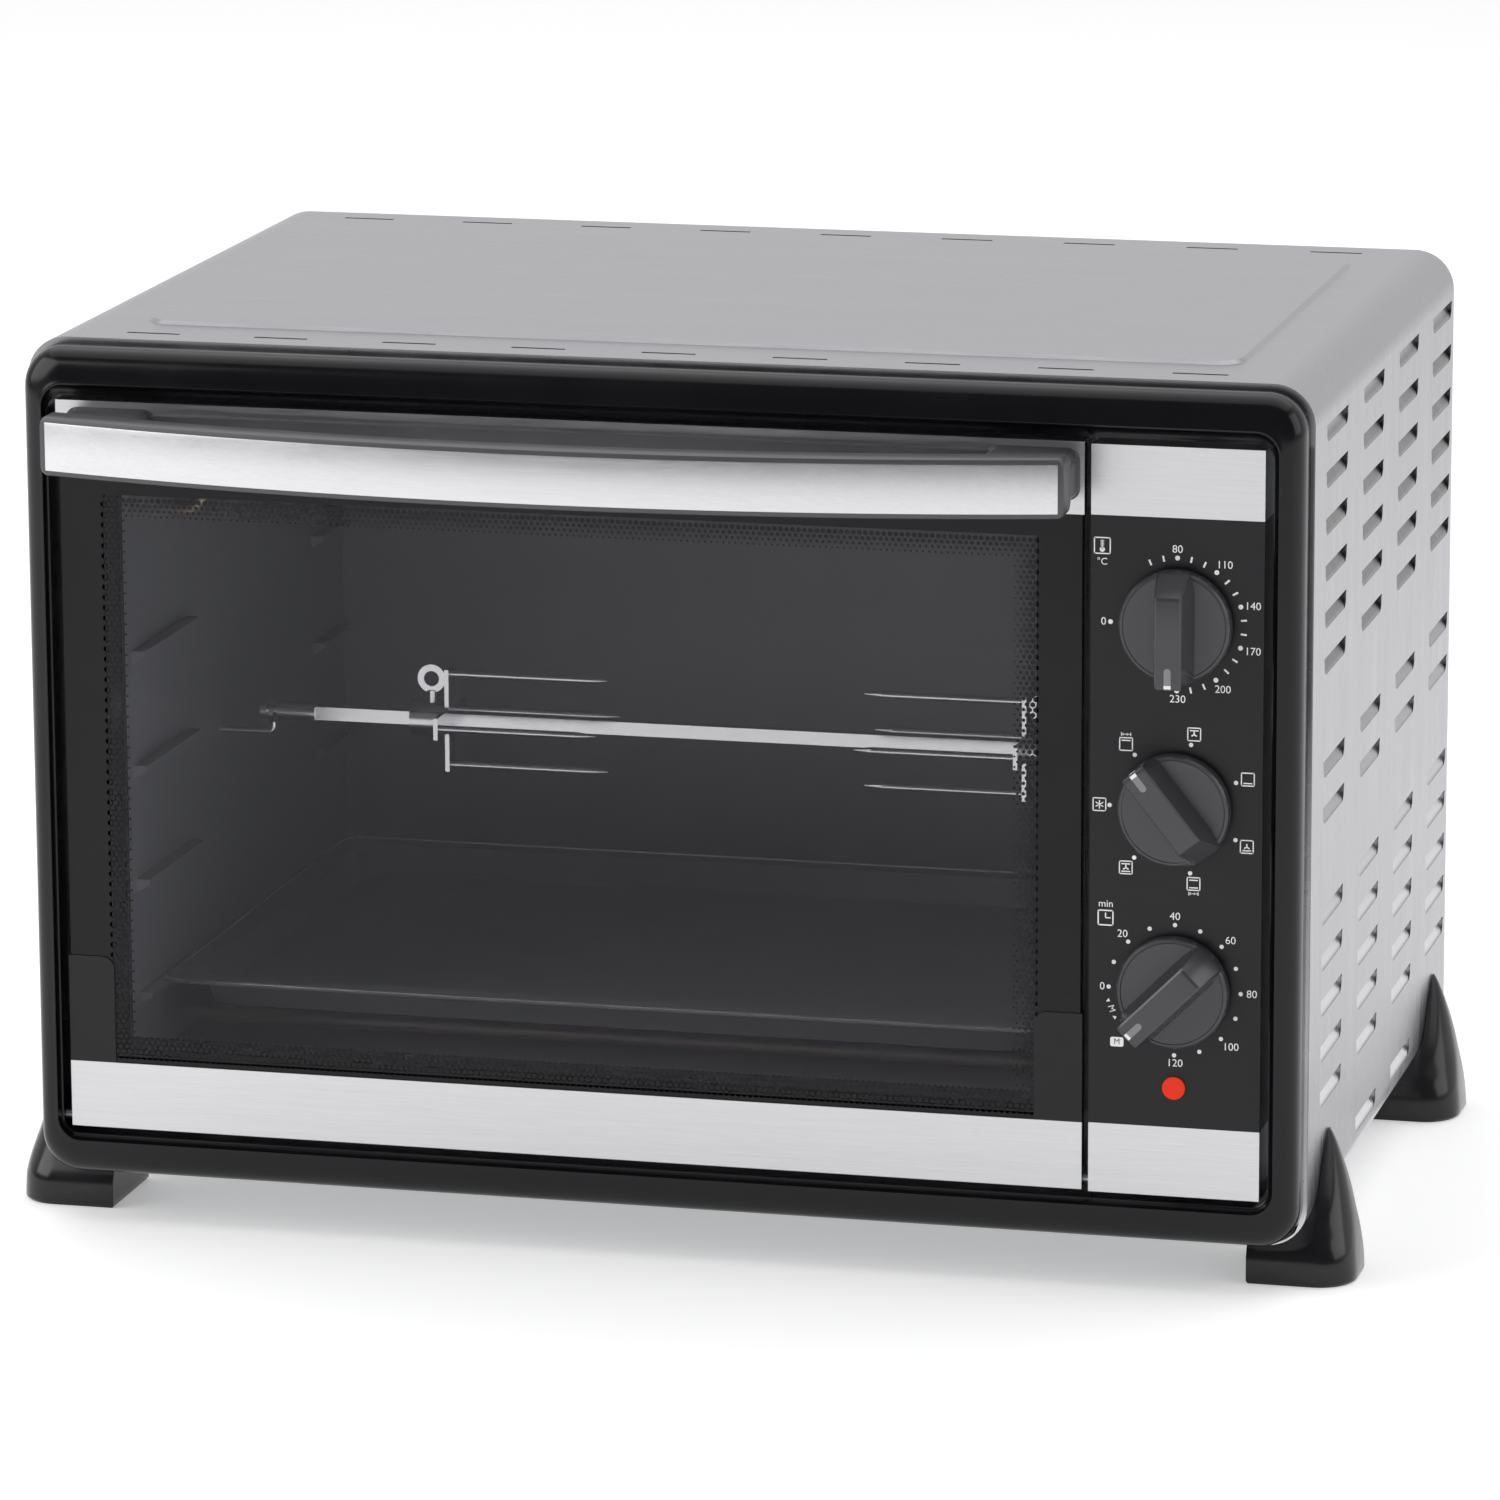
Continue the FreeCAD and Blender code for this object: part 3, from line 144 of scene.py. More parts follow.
def metal(name, colour, roughness, spread=0.05, grain=60.0):
    material, tree, shader = new_material(name)
    broad = stretched_noise(tree, (grain,) * 3, 4.0)
    darker = tuple(c * 0.86 for c in colour)
    tree.links.new(tint(tree, broad, darker, colour), shader.inputs["Base Color"])
    tree.links.new(remap(tree, broad, roughness, roughness + spread),
                   shader.inputs["Roughness"])
    shader.inputs["Metallic"].default_value = 1.0
    return material


def casing_sheet(name):
    """Brushed sheet with painted light and shade in the pressed louvre pockets: their faces run from
    dark near the top to lighter than the flat wall near the bottom.
    """
    material = brushed(name, (0.17, 0.17, 0.18), (0.42, 0.42, 0.44), 0.31, (30.0, 700.0, 30.0),
                       0.09, 0.4)
    tree = material.node_tree
    shader = tree.nodes["Principled BSDF"]
    streaked = shader.inputs["Base Color"].links[0].from_socket
    coords = tree.nodes.new("ShaderNodeTexCoord")
    split = tree.nodes.new("ShaderNodeSeparateXYZ")
    tree.links.new(coords.outputs["Object"], split.inputs["Vector"])
    side = tree.nodes.new("ShaderNodeMath")
    side.operation = "ABSOLUTE"
    tree.links.new(split.outputs["X"], side.inputs[0])
    depth = node(tree, "ShaderNodeMapRange")
    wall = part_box("outer_casing")[1].x
    depth.inputs["From Min"].default_value = wall - 0.05 * MM
    depth.inputs["From Max"].default_value = wall - 0.9 * MM
    tree.links.new(side.outputs[0], depth.inputs["Value"])
    level = node(tree, "ShaderNodeMapRange")
    level.inputs["From Min"].default_value = 370.0 * MM
    level.inputs["From Max"].default_value = 368.0 * MM
    tree.links.new(split.outputs["Z"], level.inputs["Value"])
    pressed = tree.nodes.new("ShaderNodeMath")
    pressed.operation = "MULTIPLY"
    tree.links.new(depth.outputs["Result"], pressed.inputs[0])
    tree.links.new(level.outputs["Result"], pressed.inputs[1])
    # Painted shade and painted light: the pocket faces are darkened near the top and lightened towards
    # the bottom, by height.
    lower = node(tree, "ShaderNodeMapRange")
    lower.inputs["From Min"].default_value = 260.0 * MM
    lower.inputs["From Max"].default_value = 130.0 * MM
    tree.links.new(split.outputs["Z"], lower.inputs["Value"])
    pocket_painted_light_and_shade = tint(tree, lower.outputs["Result"], (0.13, 0.13, 0.135), (0.62, 0.62, 0.63))
    mix = tree.nodes.new("ShaderNodeMix")
    mix.data_type = "RGBA"
    tree.links.new(pocket_painted_light_and_shade, mix.inputs["B"])
    tree.links.new(pressed.outputs[0], mix.inputs["Factor"])
    tree.links.new(streaked, mix.inputs["A"])
    tree.links.new(mix.outputs["Result"], shader.inputs["Base Color"])
    return material


def clear_glass(name):
    material, tree, shader = new_material(name)
    streaks = stretched_noise(tree, (6.0, 6.0, 6.0), 2.0)
    tree.links.new(remap(tree, streaks, 0.03, 0.07), shader.inputs["Roughness"])
    # Base colour: the pane's dark tint, whose diffuse grey veil is also a painted reflection, standing
    # in for the haze reflected on the pane.
    shader.inputs["Base Color"].default_value = (0.055, 0.055, 0.062, 1.0)
    shader.inputs["Alpha"].default_value = 0.15
    shader.inputs["Specular IOR Level"].default_value = 0.5
    material.surface_render_method = "BLENDED"
    return material


def lit_lens(name):
    material, tree, shader = new_material(name)
    cells = stretched_noise(tree, (900.0,) * 3, 1.0)
    tree.links.new(tint(tree, cells, (0.42, 0.008, 0.002), (0.60, 0.02, 0.004)),
                   shader.inputs["Base Color"])
    shader.inputs["Roughness"].default_value = 0.2
    shader.inputs["Specular IOR Level"].default_value = 0.2
    shader.inputs["Emission Color"].default_value = (1.0, 0.05, 0.008, 1.0)
    shader.inputs["Emission Strength"].default_value = 0.3
    return material


def build_materials():
    """Every finish on the oven, by the short name that the pieces use."""
    return {
        "casing": casing_sheet("brushed_casing"),
        "trim": brushed("brushed_trim", (0.50, 0.50, 0.51), (0.74, 0.74, 0.75), 0.33,
                        (35.0, 1500.0, 1500.0)),
        "zinc": metal("zinc_sheet", (0.50, 0.51, 0.52), 0.38),
        "frame": moulded("frame_black", (0.004, 0.004, 0.005), 0.17, shine=0.28),
        "cavity": moulded("cavity_coating", (0.21, 0.21, 0.235), 0.36, 900.0, 0.2),
        "silicone": moulded("seal_silicone", (0.02, 0.02, 0.02), 0.6, shine=0.3),
        "tray": moulded("tray_enamel", (0.15, 0.15, 0.165), 0.36, 700.0, 0.02),
        "ceramic": moulded("element_ceramic", (0.80, 0.78, 0.72), 0.6),
        "chrome": metal("bright_chrome", (0.82, 0.82, 0.84), 0.18, 0.08),
        "element": metal("element_sheath", (0.40, 0.33, 0.28), 0.38, 0.1, 200.0),
        "aluminium": metal("fan_aluminium", (0.55, 0.55, 0.56), 0.35),
        "panel": brushed("panel_black", (0.006, 0.006, 0.007), (0.015, 0.015, 0.017), 0.36,
                         (50.0, 2600.0, 2600.0), 0.05, 0.15, 0.0, 0.28),
        "panel_grey": moulded("panel_grey", (0.05, 0.05, 0.055), 0.5, shine=0.3),
        "knob": moulded("knob_grey", (0.042, 0.042, 0.047), 0.22, 2600.0, 0.25),
        "pointer": moulded("pointer_grey", (0.22, 0.22, 0.225), 0.5, 2600.0, 0.2),
        "switch": moulded("switch_plastic", (0.10, 0.10, 0.10), 0.5),
        "door_black": moulded("door_black", (0.006, 0.006, 0.007), 0.25, 1500.0, 0.1, shine=0.3),
        "ink": moulded("printed_ink", (0.004, 0.004, 0.005), 0.30, shine=0.25),
        "handle": moulded("handle_grey", (0.060, 0.060, 0.065), 0.38, 2600.0, 0.35),
        "foot": moulded("foot_black", (0.007, 0.007, 0.008), 0.18, 1800.0, 0.15, shine=0.4),
        "white": moulded("printed_white", (0.86, 0.86, 0.86), 0.5),
        "glass": clear_glass("door_pane"),
        "lamp": lit_lens("lamp_red"),
    }


MATERIAL = build_materials()

NODE_MATERIAL = {
    "casing": ["outer_casing"],
    "zinc": ["base_pan", "rear_panel", "front_plate", "hinge_bracket", "spit_motor", "fan_motor",
             "thermostat", "hinge_pin_left", "hinge_pin_right", "casing_screws",
             "handle_screws", "temperature_shaft", "function_shaft", "timer_shaft"],
    "frame": ["front_frame"],
    "cavity": ["cavity_left_wall", "cavity_right_wall", "cavity_floor", "cavity_ceiling",
               "cavity_back"],
    "silicone": ["door_seal"],
    "tray": ["drip_tray"],
    "ceramic": ["element_insulators"],
    "chrome": ["spit_rod", "spit_fork_left", "spit_fork_right", "fork_screw_left",
               "fork_screw_right", "spit_drive_socket", "spit_support_hook"],
    "element": ["upper_heating_element_front", "upper_heating_element_rear",
                "lower_heating_element_front", "lower_heating_element_rear"],
    "aluminium": ["fan_cover", "convection_fan"],
    "panel": ["control_panel"],
    "trim": ["panel_top_trim", "panel_bottom_trim", "door_top_trim", "door_bottom_trim",
             "handle_face"],
    "knob": ["temperature_knob", "function_knob", "timer_knob"],
    "switch": ["function_switch", "timer_mechanism", "cord_gland"],
    "lamp": ["indicator_lamp"],
    "door_black": ["door_frame", "door_corner_plate_left", "door_corner_plate_right"],
    "glass": ["door_glass"],
    "handle": ["handle_body"],
    "foot": ["foot_front_left", "foot_front_right", "foot_rear_left", "foot_rear_right"],
}


def dress_nodes():
    """Gives each carried-over CAD node its finish; the meshes stay as they are."""
    for key, names in NODE_MATERIAL.items():
        for name in names:
            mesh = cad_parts[name].data
            mesh.materials.clear()
            mesh.materials.append(MATERIAL[key])
            mesh.shade_smooth()
            mesh.set_sharp_from_angle(angle=math.radians(32))


dress_nodes()


# ---------------------------------------------------------------- mesh builders

def add_mesh(name, vertices, faces, material, body, smooth_angle=32.0):
    """A shaded mesh object that rides on a body."""
    mesh = bpy.data.meshes.new(name)
    mesh.from_pydata([tuple(v) for v in vertices], [], faces)
    mesh.validate()
    tidy = bmesh.new()
    tidy.from_mesh(mesh)
    bmesh.ops.recalc_face_normals(tidy, faces=tidy.faces)
    tidy.to_mesh(mesh)
    tidy.free()
    mesh.materials.append(MATERIAL[material])
    mesh.shade_smooth()
    mesh.set_sharp_from_angle(angle=math.radians(smooth_angle))
    piece = bpy.data.objects.new(name, mesh)
    bpy.context.scene.collection.objects.link(piece)
    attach(piece, body)
    return piece


def loft(loops, closed_ends=True):
    """Vertices and faces of a skin over closed loops that have one length."""
    count = len(loops[0])
    vertices = [point for loop in loops for point in loop]
    faces = []
    for row in range(len(loops) - 1):
        for k in range(count):
            a = row * count + k
            b = row * count + (k + 1) % count
            faces.append((a, b, b + count, a + count))
    if closed_ends:
        faces.append(tuple(reversed(range(count))))
        faces.append(tuple(range((len(loops) - 1) * count, len(loops) * count)))
    return vertices, faces


def rounded_loop(x0, x1, z0, z1, radius, y, steps=10):
    """A rounded rectangle in the plane of one depth, anticlockwise from its lower right."""
    points = []
    corners = ((x1 - radius, z0 + radius, -90), (x1 - radius, z1 - radius, 0),
               (x0 + radius, z1 - radius, 90), (x0 + radius, z0 + radius, 180))
    for cx, cz, start in corners:
        for step in range(steps + 1):
            a = math.radians(start + 90 * step / steps)
            points.append((cx + radius * math.cos(a), y, cz + radius * math.sin(a)))
    return points


def block(x0, x1, y0, y1, z0, z1):
    vertices = [(x, y, z) for x in (x0, x1) for y in (y0, y1) for z in (z0, z1)]
    faces = [(0, 1, 3, 2), (4, 6, 7, 5), (0, 4, 5, 1), (2, 3, 7, 6), (0, 2, 6, 4), (1, 5, 7, 3)]
    return vertices, faces


def joined(*shapes):
    vertices = []
    faces = []
    for points, polygons in shapes:
        base = len(vertices)
        vertices.extend(points)
        faces.extend(tuple(base + index for index in polygon) for polygon in polygons)
    return vertices, faces


# ---------------------------------------------------------------- places

FACE_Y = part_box("control_panel")[0].y
DOOR_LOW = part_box("door_bottom_trim")[0]
DOOR_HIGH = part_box("door_top_trim")[1]
DOOR_X0 = DOOR_LOW.x
DOOR_X1 = DOOR_HIGH.x


# ---------------------------------------------------------------- front frame

def build_bezel():
    """The moulded surround: a crown that rises to a crisp ridge, then falls to the mouth."""
    low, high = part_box("front_frame")
    front = low.y
    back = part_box("outer_casing")[0].y
    mouth_x0 = DOOR_X0 - 4.0 * MM
    mouth_x1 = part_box("control_panel")[1].x + 3.7 * MM
    mouth_z0 = DOOR_LOW.z - 3.4 * MM
    mouth_z1 = DOOR_HIGH.z + 2.1 * MM
    side, top, bottom = 9.5 * MM, 14.5 * MM, 15.4 * MM
    crown = ((back, 0.0), (front + 11 * MM, 0.0), (front + 8.4 * MM, 0.035),
             (front + 6.2 * MM, 0.10), (front + 4.4 * MM, 0.20), (front + 3.0 * MM, 0.33),
             (front + 1.9 * MM, 0.48), (front + 1.2 * MM, 0.62), (front + 0.75 * MM, 0.76),
             (front + 0.45 * MM, 0.90), (front + 0.25 * MM, 0.96), (front + 0.06 * MM, 0.99),
             (front, 1.02), (front + 0.12 * MM, 1.06), (front + 0.5 * MM, 1.10))
    loops = []
    for y, share in crown:
        inset = min(share, 1.06)
        radius = (17.0 - 6.5 * inset) * MM
        loops.append(rounded_loop(low.x + side * inset, high.x - side * inset,
                                  low.z + bottom * inset, high.z - top * inset, radius, y))
    wall = 1.1 * MM
    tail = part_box("front_plate")[0].y
    for y, grow, radius in ((front + 5 * MM, wall * 0.6, 8.0), (front + 5.4 * MM, 0.0, 7.4),
                            (tail, 0.0, 7.0), (tail, 2.4 * MM, 9.0),
                            (back, 2.4 * MM, 9.0)):
        loops.append(rounded_loop(mouth_x0 - grow, mouth_x1 + grow, mouth_z0 - grow,
                                  mouth_z1 + grow, radius * MM, y))
    loops.append(loops[0])
    vertices, faces = loft(loops, closed_ends=False)
    bezel = add_mesh("bezel", vertices, faces, "frame", "housing", 50.0)
    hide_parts("front_frame")


# ---------------------------------------------------------------- handle

def handle_bow(x, low, high, bow):
    """How far the bar's front lies behind its furthest point, at one place along it."""
    half = (high.x - low.x) / 2
    middle = (high.x + low.x) / 2
    radius = (half * half + bow * bow) / (2 * bow)
    return radius - math.sqrt(radius * radius - (x - middle) ** 2)


def build_handle():
    """The bowed bar on two end blocks, and the bright strip along its front."""
    low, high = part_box("handle_body")
    bow = 28.0 * MM
    thick = 14.0 * MM
    front = low.y
    round_end = 3.0 * MM
    stations = []
    steps = 72
    for step in range(steps + 1):
        stations.append(low.x + (high.x - low.x) * step / steps)
    for cut in (0.3, 0.9, 1.8, 3.0):
        stations.append(low.x + cut * MM)
        stations.append(high.x - cut * MM)
    stations = sorted(set(stations))
    loops = []
    for x in stations:
        edge = min(x - low.x, high.x - x)
        shrink = 0.0
        if edge < round_end:
            shrink = round_end - math.sqrt(round_end ** 2 - (round_end - edge) ** 2)
        y0 = front + handle_bow(x, low, high, bow)
        y1 = y0 + thick
        z0 = low.z + shrink
        z1 = high.z - shrink
        r = 1.6 * MM
        k = r * 0.3
        loops.append([(x, y0, z0 + r), (x, y0 + k, z0 + k), (x, y0 + r, z0), (x, y1 - r, z0),
                      (x, y1 - k, z0 + k), (x, y1, z0 + r), (x, y1, z1 - r),
                      (x, y1 - k, z1 - k), (x, y1 - r, z1), (x, y0 + r, z1),
                      (x, y0 + k, z1 - k), (x, y0, z1 - r)])
    bar = loft(loops)
    blocks = []
    width = 41.0 * MM
    lower = 1.6 * MM
    for side in (-1, 1):
        outer_x = low.x if side < 0 else high.x
        inner_x = outer_x - side * width
        x0, x1 = min(outer_x, inner_x), max(outer_x, inner_x)
        inset = 0.7 * MM
        rings = []
        start = front + bow + thick - 9.0 * MM
        for y, gap in ((start, inset), (FACE_Y - 1.2 * MM, inset), (FACE_Y - 0.2 * MM, 0.0),
                       (FACE_Y, 0.0)):
            loop = rounded_loop(x0 + gap, x1 - gap, low.z + lower + gap, high.z - lower - gap,
                                5.6 * MM, y, 6)
            rings.append(loop)
        blocks.append(loft(rings))
    base = block(low.x + 10 * MM, high.x - 10 * MM, FACE_Y - 3 * MM, FACE_Y, low.z + lower,
                 high.z - 3.8 * MM)
    vertices, faces = joined(bar, base, *blocks)
    grip = add_mesh("grip", vertices, faces, "handle", "door", 40.0)
    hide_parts("handle_body")

    border = 2.4 * MM
    z0 = low.z + border
    z1 = high.z - border
    loops = []
    for step in range(steps + 1):
        x = low.x + border + (high.x - low.x - 2 * border) * step / steps
        y = front + handle_bow(x, low, high, bow)
        inner = 0.5 * MM
        lift = 0.16 * MM
        loops.append([(x, y + inner, z0), (x, y - lift * 0.4, z0), (x, y - lift, z0 + 0.35 * MM),
                      (x, y - lift, z1 - 0.35 * MM), (x, y - lift * 0.4, z1),
                      (x, y + inner, z1)])
    vertices, faces = loft(loops)
    strip = add_mesh("grip_strip", vertices, faces, "trim", "door", 50.0)
    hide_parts("handle_face")


# ---------------------------------------------------------------- dials

def turned(points, centre, clock_angle):
    """Turns points about a dial's axis, clockwise as seen from the front."""
    turn = Matrix.Rotation(math.radians(clock_angle), 3, "Y")
    return [centre + turn @ Vector(point) for point in points]


def build_knob(node, name, body, clock_angle):
    """A knob with a raised grip bar, its tail ramp, and a pointer that wraps over the end."""
    low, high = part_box(node)
    centre = Vector(((low.x + high.x) / 2, high.y, (low.z + high.z) / 2))
    radius = (high.x - low.x) / 2
    depth = high.y - low.y
    profile = [(0.0, 0.0), (radius - 0.8 * MM, 0.0), (radius, 0.9 * MM),
               (radius - 0.15 * MM, 4.6 * MM), (radius - 0.5 * MM, 5.4 * MM),
               (radius - 1.1 * MM, 5.9 * MM), (radius - 1.9 * MM, 6.0 * MM),
               (radius - 2.3 * MM, 5.75 * MM), (0.0, 5.6 * MM)]
    sides = 96
    vertices = []
    faces = []
    for r, rise in profile[1:-1]:
        for k in range(sides):
            a = 2 * math.pi * k / sides
            vertices.append((r * math.cos(a), -rise, r * math.sin(a)))
    rows = len(profile) - 2
    for row in range(rows - 1):
        for k in range(sides):
            a = row * sides + k
            b = row * sides + (k + 1) % sides
            faces.append((a, b, b + sides, a + sides))
    faces.append(tuple(range(sides)))
    faces.append(tuple(range((rows - 1) * sides, rows * sides)))
    skirt = (turned(vertices, centre, clock_angle), faces)

    face = 5.4 * MM
    reach = radius - 0.1 * MM
    tail = -reach + 9.5 * MM
    sections = []
    for s in (-reach, -reach + 1.0 * MM, tail - 0.8 * MM, tail, tail + 0.8 * MM, 0.0,
              reach - 3.0 * MM, reach - 1.2 * MM, reach - 0.3 * MM, reach):
        if s <= tail - 0.8 * MM:
            share = (s + reach) / (tail - 0.8 * MM + reach)
            top = face + 0.5 * MM + share * (depth - face - 0.9 * MM)
        elif s <= tail:
            top = depth - 0.15 * MM
        elif s > reach - 0.2 * MM:
            top = depth - 1.1 * MM
        elif s > reach - 0.8 * MM:
            top = depth - 0.4 * MM
        else:
            top = depth
        chord = math.sqrt(max(radius ** 2 - s * s, 0.0))
        share = (top - face) / (depth - face)
        base = min(9.0 * MM, max(chord, 5.4 * MM))
        crest = base + (5.5 * MM - base) * share
        crest = min(crest, base)
        sections.append([(-base, -face + 1.0 * MM, s), (-crest - 0.25 * MM, -top + 0.7 * MM, s),
                         (-crest + 0.6 * MM, -top, s), (crest - 0.6 * MM, -top, s),
                         (crest + 0.25 * MM, -top + 0.7 * MM, s), (base, -face + 1.0 * MM, s)])
    points, polygons = loft(sections)
    bar = (turned(points, centre, clock_angle), polygons)
    vertices, faces = joined(skirt, bar)
    knob = add_mesh(name, vertices, faces, "knob", body, 28.0)
    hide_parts(node)

    half = 1.5 * MM
    end = radius - 0.1 * MM
    flat = depth
    slot_loop = []
    for step in range(9):
        a = math.pi * step / 8
        slot_loop.append((half * math.cos(a), -flat + 0.02 * MM, end - 8.0 * MM - half * math.sin(a)))
    slot_loop += [(-half, -flat + 0.02 * MM, end - 2.0 * MM), (half, -flat + 0.02 * MM, end - 2.0 * MM)]
    raised = [(x, y - 0.12 * MM, z) for x, y, z in slot_loop]
    points, polygons = loft([slot_loop, raised])
    inset = add_mesh(name + "_pointer", turned(points, centre, clock_angle), polygons, "pointer",
                     body)
    tip = [(-half, -flat - 0.14 * MM, end - 2.2 * MM), (half, -flat - 0.14 * MM, end - 2.2 * MM),
           (half, -flat - 0.1 * MM, end - 0.9 * MM), (-half, -flat - 0.1 * MM, end - 0.9 * MM),
           (half, -flat + 1.3 * MM, end + 0.08 * MM), (-half, -flat + 1.3 * MM, end + 0.08 * MM),
           (half, -flat + 3.4 * MM, end + 0.08 * MM), (-half, -flat + 3.4 * MM, end + 0.08 * MM)]
    polygons = [(0, 1, 2, 3), (3, 2, 4, 5), (5, 4, 6, 7)]
    add_mesh(name + "_tip", turned(tip, centre, clock_angle), polygons, "white", body)


class Ink:
    """Collects flat printed marks round one dial, all in the panel's plane."""

    def __init__(self, centre_x, centre_z, lift=0.10 * MM):
        self.x = centre_x
        self.z = centre_z
        self.y = FACE_Y - lift
        self.vertices = []
        self.faces = []

    def polygon(self, points):
        base = len(self.vertices)
        self.vertices += [(self.x + x * MM, self.y, self.z + z * MM) for x, z in points]
        self.faces.append(tuple(range(base, base + len(points))))

    def dot(self, x, z, radius=1.05):
        self.polygon([(x + radius * math.cos(a), z + radius * math.sin(a))
                      for a in (2 * math.pi * k / 20 for k in range(20))])

    def bar(self, x0, z0, x1, z1, width):
        length = math.hypot(x1 - x0, z1 - z0)
        nx, nz = -(z1 - z0) / length * width / 2, (x1 - x0) / length * width / 2
        self.polygon([(x0 + nx, z0 + nz), (x0 - nx, z0 - nz), (x1 - nx, z1 - nz),
                      (x1 + nx, z1 + nz)])

    def frame(self, x, z, half, width=0.5):
        for sx, sz, ex, ez in ((-1, -1, 1, -1), (1, -1, 1, 1), (1, 1, -1, 1), (-1, 1, -1, -1)):
            grow = width / 2
            dx, dz = (grow, 0) if sz == ez else (0, grow)
            ax, az = x + sx * half, z + sz * half
            bx, bz = x + ex * half, z + ez * half
            if sz == ez:
                dx = math.copysign(dx, bx - ax)
            else:
                dz = math.copysign(dz, bz - az)
            self.bar(ax - dx, az - dz, bx + dx, bz + dz, width)

    def text(self, words, x, z, size=4.7, turn=0.0):
        curve = bpy.data.curves.new("words", "FONT")
        curve.body = words
        curve.size = size
        curve.align_x = "CENTER"
        curve.align_y = "CENTER"
        curve.resolution_u = 4
        holder = bpy.data.objects.new("words", curve)
        bpy.context.scene.collection.objects.link(holder)
        bpy.context.view_layer.update()
        mesh = bpy.data.meshes.new_from_object(
            holder.evaluated_get(bpy.context.evaluated_depsgraph_get()))
        bpy.data.objects.remove(holder)
        base = len(self.vertices)
        a = math.radians(turn)
        for vertex in mesh.vertices:
            u, v = vertex.co.x, vertex.co.y
            self.vertices.append((self.x + (x + u * math.cos(a) - v * math.sin(a)) * MM, self.y,
                                  self.z + (z + u * math.sin(a) + v * math.cos(a)) * MM))
        self.faces += [tuple(base + index for index in face.vertices) for face in mesh.polygons]
        bpy.data.meshes.remove(mesh)
        bpy.data.curves.remove(curve)

    def finish(self, name, material="white"):
        piece = add_mesh(name, self.vertices, self.faces, material, "housing")
        return piece


def polar(angle, radius=28.6):
    a = math.radians(angle)
    return radius * math.cos(a), radius * math.sin(a)


def dial_centre(node):
    low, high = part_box(node)
    return (low.x + high.x) / 2, (low.z + high.z) / 2


def print_temperature_dial():
    ink = Ink(*dial_centre("temperature_knob"))
    labels = (("80", 90, 0.0, 3.7), ("110", 54, 3.4, 3.3), ("140", 18, 5.2, 0.4),
              ("170", -18, 5.3, -1.4), ("200", -54, 3.0, -4.0), ("230", -90, 0.4, -3.6),
              ("0", 180, -3.0, 0.0))
    for words, angle, dx, dz in labels:
        x, z = polar(angle)
        ink.dot(x, z)
        ink.text(words, x + dx, z + dz)
    for angle in (114, 102, 78, 66, 42, 30, 6, -6, -30, -42, -66, -78):
        x0, z0 = polar(angle, 27.4)
        x1, z1 = polar(angle, 30.0)
        ink.bar(x0, z0, x1, z1, 0.85)
    x, z = -32.3, 32.6
    ink.frame(x, z, 3.4, 0.55)
    ink.bar(x, z - 1.4, x, z + 2.4, 0.8)
    ink.dot(x, z - 1.6, 1.15)
    for step in range(4):
        ink.bar(x - 0.8, z + 0.2 + step * 0.65, x + 0.8, z + 0.2 + step * 0.65, 0.28)
    ink.text("°C", x, z - 6.9, 4.2)
    ink.finish("temperature_scale")


def oven_icon(ink, x, z, top, bottom, fan, spit_mark):
    half = 2.75
    ink.frame(x, z, half, 0.5)
    if top:
        ink.bar(x - 1.9, z + 1.6, x + 1.9, z + 1.6, 0.5)
    if bottom:
        ink.bar(x - 1.9, z - 1.7, x + 1.9, z - 1.7, 0.5)
    if fan:
        for angle in (90, 210, 330):
            dx, dz = polar(angle, 1.35)
            ink.bar(x, z - 0.1, x + dx, z - 0.1 + dz, 0.6)
    if spit_mark:
        level = z + spit_mark * (half + 1.5)
        ink.bar(x - 1.9, level, x + 1.9, level, 0.35)
        for place in (-2.0, 2.0):
            ink.bar(x + place, level - 0.8, x + place, level + 0.8, 0.35)
        for place in (-0.9, 0.9):
            ink.polygon([(x + place - 0.6, level - 0.6), (x + place + 0.6, level),
                         (x + place - 0.6, level + 0.6)])


def print_function_dial():
    ink = Ink(*dial_centre("function_knob"))
    step = 360.0 / 7
    icons = ((0, -4.4, 0.1, None), (1, -3.8, 4.5, (True, False, False, 1)),
             (2, 1.3, 4.6, (True, False, True, 0)), (3, 5.1, 1.7, (False, True, False, 0)),
             (4, 4.9, -2.7, (False, True, True, 0)), (5, 1.5, -4.6, (True, True, False, -1)),
             (6, -3.6, -4.5, (True, True, True, 0)))
    for index, dx, dz, kind in icons:
        x, z = polar(180 - index * step)
        ink.dot(x, z, 0.95)
        if kind is None:
            ink.frame(x + dx, z + dz, 2.75, 0.5)
            for angle in (90, 30, -30):
                ax, az = polar(angle, 1.9)
                ink.bar(x + dx - ax, z + dz - az, x + dx + ax, z + dz + az, 0.45)
        else:
            oven_icon(ink, x + dx, z + dz, *kind)
    ink.finish("function_scale")


